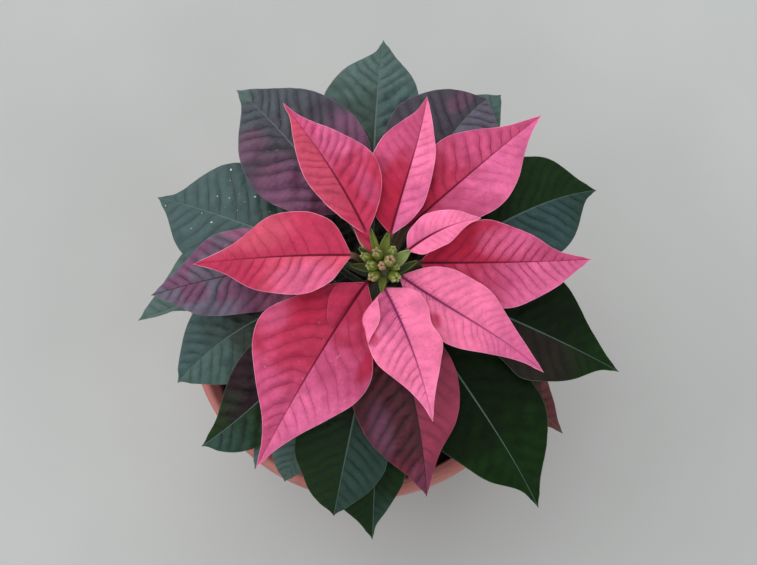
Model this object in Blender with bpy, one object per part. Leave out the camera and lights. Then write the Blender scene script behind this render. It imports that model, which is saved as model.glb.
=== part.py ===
"""A poinsettia in its pot: one bloom of pink bracts over purple and green leaves.

Lengths are in millimetres until a point becomes a mesh vertex. The origin is the middle
of the pot's underside, +Z is up and +Y is the side away from the viewer. The stem, the
flower head and the leaves hang on one empty at the soil's surface, and each leaf has its
origin at its stalk's root, with its X axis along the stalk.
"""

from dataclasses import dataclass

import bmesh
import bpy
import numpy as np
from mathutils import Matrix

MM = 0.001
GAP = 0.3
MERGE_DISTANCE = 0.000001

POT_HEIGHT = 135.0
POT_FOOT_RADIUS = 62.0
POT_WAIST_RADIUS = 84.0
POT_MOUTH_RADIUS = 90.0
POT_WALL = 3.2
POT_FLOOR = 4.5
POT_RIM_DEPTH = 20.0
POT_SIDES = 48
DRAIN_COUNT = 4
DRAIN_RADIUS = 5.0
DRAIN_CIRCLE = 36.0
DRAIN_SIDES = 12

SOIL_TOP = 122.0
SOIL_SIDES = 36
SOIL_BUMP = 1.6

STEM_FOOT = 88.0
STEM_HEAD = 262.0
STEM_FOOT_RADIUS = 6.4
STEM_HEAD_RADIUS = 4.4
STEM_LEAN = (9.5, 1.5)
STEM_SIDES = 12
STEM_RINGS = 14

EDGE_THICK = 0.8
TIP_HALF_WIDTH = 0.5
STATIONS = np.array([0.0, 0.08, 0.22, 0.36, 0.5, 0.64, 0.78, 0.9, 1.0])


@dataclass
class Leaf:
    """A leaf or bract: its stalk's azimuth and height on the stem, then its blade.

    base and tip are points, rise and sway the lift and the sideways bow of the midrib at
    its first and last third, left and right the half widths seen from above at the
    STATIONS between the ends, fold the slope of the two halves at base, middle and tip,
    curl the bend of the margins, and wave the ripple's height, count and phase.
    """

    name: str
    stalk: tuple
    base: tuple
    tip: tuple
    left: tuple
    right: tuple
    rise: tuple = (3.0, 3.0)
    sway: tuple = (0.0, 0.0)
    roll: tuple = (0.0, 0.0)
    fold: tuple = (0.25, 0.08, 0.0)
    curl: float = -0.12
    wave: tuple = (1.0, 3.0, 0.0)
    colour: tuple = (0.8, 0.2, 0.3)
    columns: int = 6
    rows: int = 12


PINK = (0.78, 0.2, 0.29)
ROSE = (0.84, 0.3, 0.38)
PURPLE = (0.2, 0.1, 0.15)
MAROON = (0.26, 0.05, 0.1)
TEAL = (0.13, 0.22, 0.2)
GREEN = (0.06, 0.12, 0.06)
DARK_GREEN = (0.03, 0.07, 0.04)

BRACTS = [
    Leaf("bract_upper_left", (103, 256.5), (1, 16.5, 267), (-37.3, 80.6, 252),
         (5, 9.5, 11.5, 12, 9.5, 5.5, 1.5), (8, 16.5, 20, 18.5, 12.5, 5.5, 1.8),
         rise=(4, 5), sway=(2, 1), roll=(4, 0), wave=(1.2, 2.5, 0.4), colour=PINK),
    Leaf("bract_upper", (78, 253), (12.2, 17.2, 262), (29.1, 85.6, 246),
         (9, 15, 18, 18, 16, 9, 3), (6, 10.5, 11, 10.5, 9, 5.5, 2.5),
         rise=(3, 5), sway=(0, 2), wave=(1.2, 3, 2.0), colour=ROSE),
    Leaf("bract_upper_right", (60, 249.5), (20.4, 21.8, 255), (82.8, 78.8, 239),
         (7, 15, 20, 20, 15.5, 7, 3), (8, 15, 19, 20, 16, 8.5, 3),
         rise=(3, 5), wave=(1.2, 3, 1.0), colour=ROSE),
    Leaf("bract_small_right", (34, 257.5), (20.2, 8.7, 265), (52.6, 23.6, 263),
         (5.5, 8, 9.5, 9, 7.5, 5, 2), (5, 6.5, 7, 7, 5, 2.5, 1),
         rise=(2, 3), sway=(-2, -2), wave=(0.6, 2, 0.0), colour=PINK, rows=9),
    Leaf("bract_right", (12, 250.5), (26.2, 5, 254), (104.8, 10.6, 236),
         (8, 16, 20, 18.5, 13.5, 6, 2.5), (8, 16, 20, 21, 17, 11.5, 5),
         rise=(3, 6), sway=(1, 2), wave=(1.2, 3, 3.0), colour=PINK),
    Leaf("bract_lower_right", (-26, 253.5), (17.1, -2.3, 258.5), (81.4, -42.9, 241),
         (9, 15.5, 17, 16, 11.5, 6, 2.5), (6, 11, 14.5, 13.5, 9.5, 5, 2),
         rise=(3, 5), sway=(1, -2), wave=(1.2, 3, 0.6), colour=PINK),
    Leaf("bract_lower", (-88, 254.5), (9.5, -9, 263.5), (30.9, -66.1, 247),
         (10, 14, 12.5, 14, 10, 5, 2), (12, 16, 17.5, 16.5, 11.5, 6, 2.2),
         rise=(3, 5), sway=(-2, -2), wave=(1.0, 3, 1.5), colour=PINK),
    Leaf("bract_lower_left", (-139, 250.5), (0.8, -5.6, 258.5), (-48.6, -85.5, 236),
         (10, 18, 25.5, 25, 18, 9.5, 3.5), (12, 23, 31.5, 29.5, 20, 8.5, 2.8),
         rise=(-2, 3), sway=(2, 1), roll=(-5, 0), wave=(1.4, 2.5, 0.0),
         colour=PINK, columns=8, rows=14),
    Leaf("bract_left", (165, 256.5), (-6.1, 5.5, 268), (-78, 6.1, 246),
         (10, 16, 17.5, 16, 13, 6.5, 2.5), (12, 19, 21, 19, 13, 6, 2.5),
         rise=(2, 5), sway=(1, 0), wave=(1.2, 3, 2.2), colour=PINK),
    Leaf("bract_tiny", (133, 260), (2.6, 7.2, 264.5), (-8.5, 24, 262),
         (3, 3.5, 4, 3.5, 3, 2, 1), (1.2, 1.5, 2, 2.5, 2.5, 2, 1),
         rise=(1, 1), wave=(0.3, 2, 0), colour=PINK, columns=4, rows=7),
]

TURNING_LEAVES = [
    Leaf("leaf_turning_upper_left", (118, 243), (-8.8, 31, 245), (-60.9, 95.1, 226),
         (13, 22, 26, 26, 22.5, 15, 4.5), (18, 28, 31, 31, 27, 18.5, 9),
         rise=(4, 7), sway=(1, 2), wave=(1.8, 2.5, 0.5), colour=PURPLE),
    Leaf("leaf_turning_upper_right", (74, 242), (18.8, 30.1, 243), (60, 97, 206),
         (14, 22, 27, 29, 29, 24, 14), (10, 14, 18, 22, 24, 21, 13),
         rise=(4, 13), sway=(-1, -4), wave=(1.8, 2.5, 1.5), colour=PURPLE),
    Leaf("leaf_turning_left", (168, 243), (-13.3, 7.8, 244), (-99.6, -3.6, 222),
         (12, 16, 18.5, 19, 17.5, 14, 6), (12, 18, 20, 21.5, 19.5, 12.5, 5),
         rise=(4, 7), sway=(2, 1), wave=(1.8, 3, 0.0), colour=PURPLE),
    Leaf("leaf_turning_lower", (-81, 242), (12.7, -19, 243), (28.7, -96.8, 216),
         (13, 19, 22, 21, 16.5, 8, 3), (14, 23, 27.5, 27, 24, 16.5, 7),
         rise=(4, 8), sway=(-2, -3), wave=(1.8, 2.5, 0.8), colour=MAROON),
    Leaf("leaf_turning_lower_left", (-150, 240), (-8.7, -8.9, 239), (-75.7, -73.2, 212),
         (10, 14, 17, 18, 18, 16, 10), (10, 15, 20, 21.5, 19, 13, 5),
         rise=(4, 8), sway=(-5, -6), wave=(1.8, 2.5, 2.0), colour=PURPLE),
]

GREEN_LEAVES = [
    Leaf("leaf_green_top", (97, 214), (4, 45.5, 228), (9.1, 129, 200),
         (14, 20, 24, 26, 24.5, 17, 3.5), (12, 17, 20, 21, 19.5, 15, 6),
         rise=(4, 7), sway=(-1, -1), colour=TEAL),
    Leaf("leaf_green_upper_right", (64, 200), (30.8, 46.1, 215), (67, 102.5, 195),
         (8, 14, 18, 19, 18, 14, 9), (8, 11, 13, 13, 11, 8.5, 4),
         rise=(3, 6), colour=DARK_GREEN),
    Leaf("leaf_green_upper_left", (152, 216), (-29.9, 18.7, 230), (-100, 48, 204),
         (12, 18, 23, 25, 24, 18, 6.5), (14, 21, 27, 29.5, 26, 16, 4),
         rise=(4, 8), wave=(1.5, 2.5, 1.0), colour=TEAL),
    Leaf("leaf_green_left", (180, 203), (-30.5, 9.2, 214), (-110, -9.4, 188),
         (9, 11, 11, 9, 5, 1.5, 1), (12, 18, 23, 25, 25, 16, 7),
         rise=(4, 7), colour=TEAL),
    Leaf("leaf_green_lower_left", (-165, 212), (-20.5, -4.7, 228), (-89.3, -41, 196),
         (12, 17, 20, 21, 20, 17, 9), (10, 15, 18, 20, 19, 14.5, 7),
         rise=(4, 8), sway=(5, 5), colour=TEAL),
    Leaf("leaf_green_low_left", (-130, 200), (-20.5, -34.2, 224), (-50.8, -83.9, 213),
         (6, 8, 9, 8, 6, 3, 1.5), (6, 10, 13, 13, 11, 7, 4),
         rise=(3, 5), colour=DARK_GREEN),
    Leaf("leaf_green_lowest_left", (-122, 186), (-16, -42.4, 200), (-38.6, -86.7, 180),
         (6, 10, 12, 13, 12, 8, 4), (6, 10, 13, 15, 15, 13, 8),
         rise=(3, 5), colour=GREEN),
    Leaf("leaf_green_lower", (-103, 208), (-1, -43.5, 222), (-14.7, -103.5, 186),
         (12, 16, 18.5, 19.5, 19, 14.5, 7), (14, 20, 24, 25, 23.5, 18.5, 12),
         rise=(4, 8), colour=GREEN),
    Leaf("leaf_green_bottom", (-90, 191), (6.4, -50.7, 206), (3.6, -113.5, 168),
         (10, 13, 15, 15, 12.5, 7, 1.5), (10, 15, 18, 20, 20, 17, 6),
         rise=(4, 8), colour=GREEN),
    Leaf("leaf_green_lower_right", (-48, 218), (28, -19.1, 230), (82.2, -100.1, 192),
         (14, 20, 24.5, 27, 26, 18, 6.5), (14, 21, 25.5, 26.5, 21.5, 14.5, 3.5),
         rise=(4, 9), sway=(0, -2), wave=(1.5, 2.5, 0.5), colour=GREEN),
    Leaf("leaf_green_right", (-13, 224), (44, -6.2, 232), (120.6, -36.6, 202),
         (14, 22, 27, 27, 21, 11, 4), (12, 16, 19.5, 23, 19.5, 13, 3.5),
         rise=(4, 8), colour=DARK_GREEN),
    Leaf("leaf_green_far_right", (24, 226), (48.7, 18.8, 236), (111.1, 50, 210),
         (12, 20, 24, 25.5, 25, 20, 7), (12, 18, 22, 24.5, 22, 15, 4),
         rise=(4, 8), sway=(-2, -3), colour=GREEN),
    Leaf("leaf_maroon_low_right", (-34, 186), (50, -28, 204), (97.9, -60.8, 158),
         (7, 12, 16, 17, 15, 9, 3), (6, 9, 11, 12, 10, 6, 2),
         rise=(6, 10), colour=MAROON),
]

GREEN_COLUMNS = 4
GREEN_ROWS = 11
LEAF_ROUGHNESS = 0.55

STALK_GAP = 0.45
STALK_ROWS = 4
STALK_HALF_WIDTH = 1.5
STALK_REACH = 0.35
STALK_THICK = 2.4
BLADE_RIB = 1.5
TIP_THICK = 0.9
RIB_SHARPNESS = 1.5
FOLD_REACH = 0.16
WAVE_SHIFT = 2.1
SLOPE_STEP = 0.01
# A cubic's control point stands 4/3 as far off the chord as the curve bows there.
BOW_TO_CONTROL = 4 / 3

HEAD_BASE = STEM_HEAD + GAP
HEAD_RADIUS = 6.4
HEAD_HEIGHT = 4.5
HEAD_SIDES = 12

CUP_LEAN = 0.5
CUP_SIDES = 8
CUP_FOOT = -3.0
CUP_LIP = 6.0
CUP_PROFILE = [
    (0, CUP_FOOT), (1.1, CUP_FOOT), (1.3, -0.5), (2.2, 1.2), (2.5, 3.4), (1.9, 5.4),
    (1.1, CUP_LIP), (0, 5.6),
]
# Each cup's place beside the head's axis, the height of its middle and its size.
CUPS = [
    (-8.1, 2.7, 266.0, 0.9), (-3.1, 3.9, 267.5, 1.0), (-6.1, -1.4, 267.0, 0.9),
    (-5.0, -5.6, 265.5, 0.95), (-1.2, -1.4, 268.0, 0.9), (1.9, -0.4, 268.5, 1.05),
    (4.2, -1.3, 266.5, 0.8), (2.9, 5.6, 267.0, 0.9), (4.3, -5.6, 265.5, 1.05),
]
# Each bractlet's root and tip from the head's axis, and its half width.
BRACTLETS = [
    ((3.6, 0.2, 264.6), (10.0, 5.1, 272.0), 2.1), ((-0.6, 3.4, 264.8), (1.7, 12.9, 273), 2.0),
    ((-2.4, 3.4, 264.8), (-6.4, 14.4, 268.5), 1.4), ((-0.6, -3.6, 264.8), (-1.9, -11.3, 267), 1.4),
    ((-3.6, 2.4, 264.8), (-9.6, 7.6, 269.5), 1.2),
]
BRACTLET_SHARES = [0.0, 0.3, 0.6, 0.85, 1.0]
BRACTLET_WIDTHS = [0.7, 1.0, 0.85, 0.5, 0.2]
BRACTLET_ARCH = 1.5
BRACTLET_CUP = 0.35

TERRACOTTA = (0.5, 0.2, 0.14)
EARTH = (0.02, 0.014, 0.01)
STEM_GREEN = (0.12, 0.16, 0.07)
CUP_GREEN = (0.2, 0.3, 0.06)


def clear_scene():
    for obj in list(bpy.data.objects):
        bpy.data.objects.remove(obj, do_unlink=True)


def material(name, colour, roughness):
    made = bpy.data.materials.new(name)
    made.use_nodes = True
    shader = made.node_tree.nodes["Principled BSDF"]
    shader.inputs["Base Color"].default_value = (*colour, 1.0)
    shader.inputs["Roughness"].default_value = roughness
    shader.inputs["Metallic"].default_value = 0.0
    return made


def add_object(name, body, colour, roughness=0.6):
    """The smooth-shaded object of this bmesh, with its own material."""
    mesh = bpy.data.meshes.new(name)
    body.to_mesh(mesh)
    body.free()
    mesh.shade_smooth()
    mesh.set_sharp_from_angle(angle=np.radians(40))
    mesh.materials.append(material(name, colour, roughness))
    made = bpy.data.objects.new(name, mesh)
    bpy.context.scene.collection.objects.link(made)
    return made


def place(obj, parent, location, turn=0.0):
    """Hangs the object on its parent, at a world location in millimetres."""
    obj.parent = parent
    obj.location = np.asarray(location, float) * MM - np.array(parent.location)
    obj.rotation_euler = (0.0, 0.0, turn)


def turned(profile, sides):
    """The bmesh of (radius, height) points spun round the Z axis, closed at its poles."""
    body = bmesh.new()
    verts = [body.verts.new((radius * MM, 0.0, height * MM)) for radius, height in profile]
    edges = [body.edges.new(pair) for pair in zip(verts, verts[1:])]
    bmesh.ops.spin(
        body, geom=verts + edges, axis=(0, 0, 1), cent=(0, 0, 0), angle=2 * np.pi, steps=sides,
        use_merge=True,
    )
    bmesh.ops.remove_doubles(body, verts=body.verts, dist=MERGE_DISTANCE)
    bmesh.ops.recalc_face_normals(body, faces=body.faces)
    return body


def sheet_object(name, points, thick, colour):
    """A grid laid on the points, thickened downwards by this much at each point."""
    rows, columns = points.shape[:2]
    body = bmesh.new()
    bmesh.ops.create_grid(body, x_segments=columns - 1, y_segments=rows - 1, size=1.0)
    for vert, point in zip(body.verts, points.reshape(-1, 3) * MM):
        vert.co = point
    bmesh.ops.triangulate(body, faces=body.faces, quad_method="FIXED")
    made = add_object(name, body, colour, LEAF_ROUGHNESS)
    group = made.vertex_groups.new(name="thickness")
    for index, share in enumerate(np.ravel(thick) / STALK_THICK):
        group.add([index], float(share), "REPLACE")
    solid = made.modifiers.new("thickness", "SOLIDIFY")
    solid.thickness = STALK_THICK * MM
    solid.offset = -1.0
    solid.vertex_group = group.name
    return made


def unit(vectors):
    return vectors / np.linalg.norm(vectors, axis=-1, keepdims=True)


def bezier(ends, share):
    """Points on the cubic curve of four control points at these shares of it."""
    s = share[:, None]
    a, b, c, d = (np.asarray(end, float) for end in ends)
    return a * (1 - s) ** 3 + 3 * b * s * (1 - s) ** 2 + 3 * c * s**2 * (1 - s) + d * s**3


def bezier_tangent(ends, share):
    ahead = bezier(ends, np.minimum(share + SLOPE_STEP, 1.0))
    behind = bezier(ends, np.maximum(share - SLOPE_STEP, 0.0))
    return unit(ahead - behind)


def stem_centre(height):
    """The stem's axis: upright in the soil, then leaning with the square of the height."""
    share = np.clip((np.asarray(height, float) - SOIL_TOP) / (STEM_HEAD - SOIL_TOP), 0, None)
    return np.stack([STEM_LEAN[0] * share**2, STEM_LEAN[1] * share**2, height + 0 * share], -1)


def stem_direction(height):
    return unit(stem_centre(height + 1.0) - stem_centre(height - 1.0))


def stem_radius(height):
    share = (height - STEM_FOOT) / (STEM_HEAD - STEM_FOOT)
    return STEM_FOOT_RADIUS + (STEM_HEAD_RADIUS - STEM_FOOT_RADIUS) * share


def stalk_root(leaf):
    """Where the stalk leaves the stem, and its level direction there."""
    azimuth, height = np.radians(leaf.stalk[0]), leaf.stalk[1]
    out = np.array([np.cos(azimuth), np.sin(azimuth), 0.0])
    return stem_centre(height) + out * (stem_radius(height) + STALK_GAP), out


def midrib_controls(leaf):
    """The four control points of the blade's midrib."""
    base, tip = np.array(leaf.base, float), np.array(leaf.tip, float)
    along = tip - base
    across = unit(np.array([along[1], -along[0], 0.0]))
    up = np.array([0.0, 0.0, 1.0])
    bows = [
        (up * rise + across * sway) * BOW_TO_CONTROL for rise, sway in zip(leaf.rise, leaf.sway)
    ]
    return base, base + along / 3 + bows[0], base + along * 2 / 3 + bows[1], tip


def stalk_controls(leaf):
    """The stalk leaves at a right angle to the stem and meets the blade along the midrib."""
    root, out = stalk_root(leaf)
    lean = stem_direction(leaf.stalk[1])
    start = unit(out - lean * np.dot(out, lean))
    base, first = midrib_controls(leaf)[:2]
    reach = np.linalg.norm(base - root) * STALK_REACH
    return root, root + start * reach, base - unit(first - base) * reach, base


def smooth_curve(values, share):
    """A smooth curve through the values at the STATIONS, read at these shares."""
    slopes = np.gradient(values, STATIONS)
    index = np.clip(np.searchsorted(STATIONS, share, side="right") - 1, 0, len(STATIONS) - 2)
    width = STATIONS[index + 1] - STATIONS[index]
    s = (share - STATIONS[index]) / width
    return (
        values[index] * (1 + 2 * s) * (1 - s) ** 2
        + slopes[index] * width * s * (1 - s) ** 2
        + values[index + 1] * s**2 * (3 - 2 * s)
        - slopes[index + 1] * width * s**2 * (1 - s)
    )


def half_widths(widths, share):
    values = np.array([STALK_HALF_WIDTH, *widths, TIP_HALF_WIDTH])
    return np.maximum(smooth_curve(values, share), TIP_HALF_WIDTH)


def blade_surface(leaf, share, across):
    """Points of the upper face at each share of the midrib and place across, -1 to 1."""
    line = bezier(midrib_controls(leaf), share)
    tangent = bezier_tangent(midrib_controls(leaf), share)
    level = unit(np.cross(tangent, [0.0, 0.0, 1.0]))
    lift = np.cross(level, tangent)
    roll = np.radians(leaf.roll[0] + (leaf.roll[1] - leaf.roll[0]) * share)[:, None]
    side = level * np.cos(roll) - lift * np.sin(roll)
    normal = lift * np.cos(roll) + level * np.sin(roll)
    left = half_widths(leaf.left, share)[:, None]
    right = half_widths(leaf.right, share)[:, None]
    v = across[None, :]
    reach = np.where(v < 0, left, right) * v
    foot, middle, end = leaf.fold
    fold = middle + (end - middle) * share + (foot - middle) * np.exp(-((share / FOLD_REACH) ** 2))
    height, count, phase = leaf.wave
    swell = np.sin(np.pi * share)[:, None]
    ripple = np.sin(2 * np.pi * count * share[:, None] + phase + WAVE_SHIFT * np.sign(v))
    slope = fold[:, None] + leaf.curl * np.abs(v)
    rise = np.abs(reach) * slope + height * swell * ripple * v**2
    return line[:, None] + side[:, None] * reach[..., None] + normal[:, None] * rise[..., None]


def stalk_surface(leaf, share, across):
    """Points of the stalk's upper side, as wide as the blade's foot."""
    line = bezier(stalk_controls(leaf), share)
    side = unit(np.cross(bezier_tangent(stalk_controls(leaf), share), [0.0, 0.0, 1.0]))
    return line[:, None] + side[:, None] * (STALK_HALF_WIDTH * across)[None, :, None]


def leaf_object(leaf, parent):
    """Stalk and blade as one sheet: thick at the midrib, thin at the margin."""
    across = np.linspace(-1, 1, leaf.columns + 1)
    stalk_share = np.linspace(0, 1, STALK_ROWS + 1)[:-1]
    blade_share = np.concatenate([[0.0, 0.04], np.linspace(0.1, 1.0, leaf.rows - 1)])
    points = np.concatenate(
        [stalk_surface(leaf, stalk_share, across), blade_surface(leaf, blade_share, across)]
    )
    place_along = np.concatenate([stalk_share - 1, blade_share])
    rib = np.interp(place_along, [-1, 0, 0.3, 1], [STALK_THICK, STALK_THICK, BLADE_RIB, TIP_THICK])
    crest = (1 - np.abs(across)) ** RIB_SHARPNESS
    thick = EDGE_THICK + (rib[:, None] - EDGE_THICK) * crest[None, :]
    root = stalk_root(leaf)[0]
    azimuth = np.radians(leaf.stalk[0])
    turn = np.array(Matrix.Rotation(azimuth, 3, "Z"))
    made = sheet_object(leaf.name, (points - root) @ turn, thick, leaf.colour)
    place(made, parent, root, azimuth)
    return made


def apply_modifiers(body):
    bpy.context.view_layer.update()
    graph = bpy.context.evaluated_depsgraph_get()
    mesh = bpy.data.meshes.new_from_object(body.evaluated_get(graph))
    body.modifiers.clear()
    body.data = mesh


def inner_wall(height):
    """The pot's inside radius at this height, below the rim's collar."""
    collar = POT_HEIGHT - POT_RIM_DEPTH
    outside = np.interp(height, [0, collar], [POT_FOOT_RADIUS, POT_WAIST_RADIUS])
    return outside - POT_WALL


def drain_cutter():
    """Four upright cylinders on a circle round the floor's middle."""
    body = bmesh.new()
    for turn in np.arange(DRAIN_COUNT) * 2 * np.pi / DRAIN_COUNT + np.pi / DRAIN_COUNT:
        middle = np.array([np.cos(turn) * DRAIN_CIRCLE, np.sin(turn) * DRAIN_CIRCLE, 0.0]) * MM
        bmesh.ops.create_cone(
            body, cap_ends=True, segments=DRAIN_SIDES, radius1=DRAIN_RADIUS * MM,
            radius2=DRAIN_RADIUS * MM, depth=4 * POT_FLOOR * MM,
            matrix=Matrix.Translation(middle),
        )
    made = add_object("drain_cutter", body, TERRACOTTA)
    made.hide_render = True
    made.display_type = "WIRE"
    return made


def pot():
    """A tapered pot with a thick rounded rim and four holes beside the floor's middle."""
    foot, waist, mouth = POT_FOOT_RADIUS, POT_WAIST_RADIUS, POT_MOUTH_RADIUS
    collar = POT_HEIGHT - POT_RIM_DEPTH
    corner = inner_wall(POT_FLOOR + 2)
    profile = [
        (0, 0), (foot - 1.5, 0), (foot, 1.5), (waist, collar), (mouth - 1.2, collar + 1.2),
        (mouth, collar + 3), (mouth, POT_HEIGHT - 1.6), (mouth - 1.6, POT_HEIGHT),
        (mouth - 3.4, POT_HEIGHT), (mouth - 4.6, POT_HEIGHT - 1.4),
        (waist - POT_WALL, collar), (corner, POT_FLOOR + 2), (corner - 3, POT_FLOOR),
        (0, POT_FLOOR),
    ]
    made = add_object("pot", turned(profile, POT_SIDES), TERRACOTTA, 0.7)
    drains = made.modifiers.new("drains", "BOOLEAN")
    drains.operation = "DIFFERENCE"
    drains.solver = "EXACT"
    drains.object = drain_cutter()
    return made


def soil():
    """Earth that fills the pot, with a hollow for the stem and a lumpy top."""
    hole = STEM_FOOT_RADIUS + GAP
    floor = POT_FLOOR + GAP
    collar = POT_HEIGHT - POT_RIM_DEPTH
    corner = inner_wall(POT_FLOOR + 2)
    outer = inner_wall(collar) - 2 * GAP
    profile = [
        (0, floor), (corner - 4, floor), (corner - 2 * GAP, POT_FLOOR + 2.5), (outer, collar),
        (outer - 0.5, SOIL_TOP - 1.5), (outer - 5, SOIL_TOP), (60, SOIL_TOP), (42, SOIL_TOP),
        (26, SOIL_TOP), (14, SOIL_TOP), (hole, SOIL_TOP), (hole, STEM_FOOT - GAP),
        (0, STEM_FOOT - GAP),
    ]
    body = turned(profile, SOIL_SIDES)
    for vert in body.verts:
        x, y, z = vert.co / MM
        if abs(z - SOIL_TOP) < GAP:
            lumps = np.sin(0.21 * x + 1.0) * np.sin(0.19 * y) + 0.6 * np.sin(0.37 * x - 0.29 * y)
            vert.co.z += SOIL_BUMP * lumps * MM
    return add_object("soil", body, EARTH, 0.95)


def stem(parent):
    """A tapered, leaning stem: level rings bridged one to the next."""
    body = bmesh.new()
    heights = [STEM_FOOT, SOIL_TOP - 4, *np.linspace(SOIL_TOP + 10, STEM_HEAD, STEM_RINGS)]
    below = []
    for height in heights:
        ring = bmesh.ops.create_circle(
            body, cap_ends=height in (heights[0], heights[-1]), segments=STEM_SIDES,
            radius=stem_radius(height) * MM, matrix=Matrix.Translation(stem_centre(height) * MM),
        )
        edges = list({edge for vert in ring["verts"] for edge in vert.link_edges})
        if below:
            bmesh.ops.bridge_loops(body, edges=below + edges)
        below = edges
    bmesh.ops.translate(body, verts=body.verts, vec=(0.0, 0.0, -SOIL_TOP * MM))
    bmesh.ops.recalc_face_normals(body, faces=body.faces)
    made = add_object("stem", body, STEM_GREEN)
    place(made, parent, (0.0, 0.0, SOIL_TOP))
    return made


def cup(x, y, height, size):
    """One cup of the head, leaning outwards from the head's axis."""
    body = turned(CUP_PROFILE, CUP_SIDES)
    lean = CUP_LEAN / (CUP_LIP - CUP_FOOT) / size
    for vert in body.verts:
        vert.co *= size
        below_lip = vert.co.z - CUP_LIP * size * MM
        vert.co.x += below_lip * lean * x
        vert.co.y += below_lip * lean * y
    bmesh.ops.translate(body, verts=body.verts, vec=np.array([x, y, height - HEAD_BASE]) * MM)
    return add_object("cup", body, CUP_GREEN)


def bractlet(root, tip, half_width):
    """A small pointed blade beside the cups, cupped across and arched along."""
    share = np.array(BRACTLET_SHARES)
    across = np.linspace(-1, 1, 3)
    start, end = np.array(root, float), np.array(tip, float)
    side = unit(np.cross(end - start, [0.0, 0.0, 1.0]))
    arch = BRACTLET_ARCH * share * (1 - share)
    line = start + (end - start) * share[:, None] + np.array([0, 0, 1]) * arch[:, None]
    width = half_width * np.array(BRACTLET_WIDTHS)
    points = line[:, None] + side * (width[:, None] * across)[..., None]
    points[..., 2] += BRACTLET_CUP * half_width * across**2 - HEAD_BASE
    thick = np.full(points.shape[:2], EDGE_THICK)
    return sheet_object("bractlet", points, thick, CUP_GREEN)


def flower_head(parent):
    """The cluster of cups and bractlets, joined on one low dome."""
    dome = [
        (0, 0), (HEAD_RADIUS - 1, 0), (HEAD_RADIUS, 1.2), (HEAD_RADIUS - 1.4, 3.4),
        (HEAD_RADIUS - 3.6, HEAD_HEIGHT), (0, HEAD_HEIGHT + 0.4),
    ]
    made = add_object("flower_head", turned(dome, HEAD_SIDES), CUP_GREEN)
    pieces = bpy.data.collections.new("head pieces")
    bpy.context.scene.collection.children.link(pieces)
    for piece in [cup(*values) for values in CUPS] + [bractlet(*values) for values in BRACTLETS]:
        bpy.context.scene.collection.objects.unlink(piece)
        pieces.objects.link(piece)
    join = made.modifiers.new("join", "BOOLEAN")
    join.operation = "UNION"
    join.solver = "EXACT"
    join.operand_type = "COLLECTION"
    join.collection = pieces
    apply_modifiers(made)
    for piece in list(pieces.objects):
        bpy.data.objects.remove(piece, do_unlink=True)
    bpy.data.collections.remove(pieces)
    place(made, parent, (*STEM_LEAN, HEAD_BASE))
    return made


def plant_empty():
    """The empty that the growing parts hang on, at the middle of the soil's surface."""
    made = bpy.data.objects.new("plant", None)
    bpy.context.scene.collection.objects.link(made)
    made.location = (0.0, 0.0, SOIL_TOP * MM)
    return made


def main():
    clear_scene()
    pot()
    soil()
    plant = plant_empty()
    stem(plant)
    flower_head(plant)
    for leaf in BRACTS + TURNING_LEAVES:
        leaf_object(leaf, plant)
    for leaf in GREEN_LEAVES:
        leaf.columns, leaf.rows = GREEN_COLUMNS, GREEN_ROWS
        leaf_object(leaf, plant)


main()
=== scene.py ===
"""Finished surfaces for a poinsettia in its pot.

Every blade is one sheet worked out from two parameters: its share of the midrib and its
place across. Two attributes travel with it for the materials: leaf_place holds the
distance from the midrib, the share along it and the distance from the margin, negative
on the lower face, and leaf_veins holds the running number of the side veins on the left
and right halves, whole on a vein, and how fast it changes per millimetre. Lengths are in
millimetres and angles in degrees, where nothing else is said.
"""

from dataclasses import dataclass

import bmesh
import bpy
import numpy as np
from bpy.props import FloatProperty, FloatVectorProperty, IntProperty, PointerProperty
from mathutils import Matrix, Vector


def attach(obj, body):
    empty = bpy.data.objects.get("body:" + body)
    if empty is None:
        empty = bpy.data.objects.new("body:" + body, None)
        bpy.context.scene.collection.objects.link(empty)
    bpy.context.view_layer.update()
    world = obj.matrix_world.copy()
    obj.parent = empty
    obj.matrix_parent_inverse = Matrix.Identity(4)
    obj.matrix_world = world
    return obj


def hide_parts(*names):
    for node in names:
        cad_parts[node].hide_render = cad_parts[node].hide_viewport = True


bl_info = {
    "name": "Potted poinsettia",
    "version": (1, 0, 0),
    "blender": (4, 5, 0),
    "location": "3D View > Sidebar > Poinsettia",
    "description": "Builds the leaves, flower head, stem, pot and soil of a potted poinsettia",
    "category": "Add Mesh",
}

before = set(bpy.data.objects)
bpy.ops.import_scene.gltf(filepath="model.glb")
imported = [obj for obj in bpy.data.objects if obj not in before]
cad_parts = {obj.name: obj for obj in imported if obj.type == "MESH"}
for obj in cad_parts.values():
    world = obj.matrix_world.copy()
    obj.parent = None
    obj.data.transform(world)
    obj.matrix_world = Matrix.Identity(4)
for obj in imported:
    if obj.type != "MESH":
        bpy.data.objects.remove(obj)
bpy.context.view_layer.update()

MM = 0.001
BODY = "root"
UP = np.array([0.0, 0.0, 1.0])

# Sizes of the pot, soil and stem, as the solids have them.
POT_HEIGHT = 135.0
POT_FOOT_RADIUS = 62.0
POT_WAIST_RADIUS = 84.0
POT_MOUTH_RADIUS = 90.0
POT_WALL = 3.2
POT_FLOOR = 4.5
POT_RIM_DEPTH = 20.0
POT_COLLAR = POT_HEIGHT - POT_RIM_DEPTH
DRAIN_COUNT = 4
DRAIN_RADIUS = 5.0
DRAIN_CIRCLE = 36.0
SOIL_TOP = 122.0
STEM_FOOT = 88.0
STEM_HEAD = 262.0
STEM_FOOT_RADIUS = 6.4
STEM_HEAD_RADIUS = 4.4
STEM_LEAN = (9.5, 1.5)
STALK_GAP = 0.45

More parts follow.
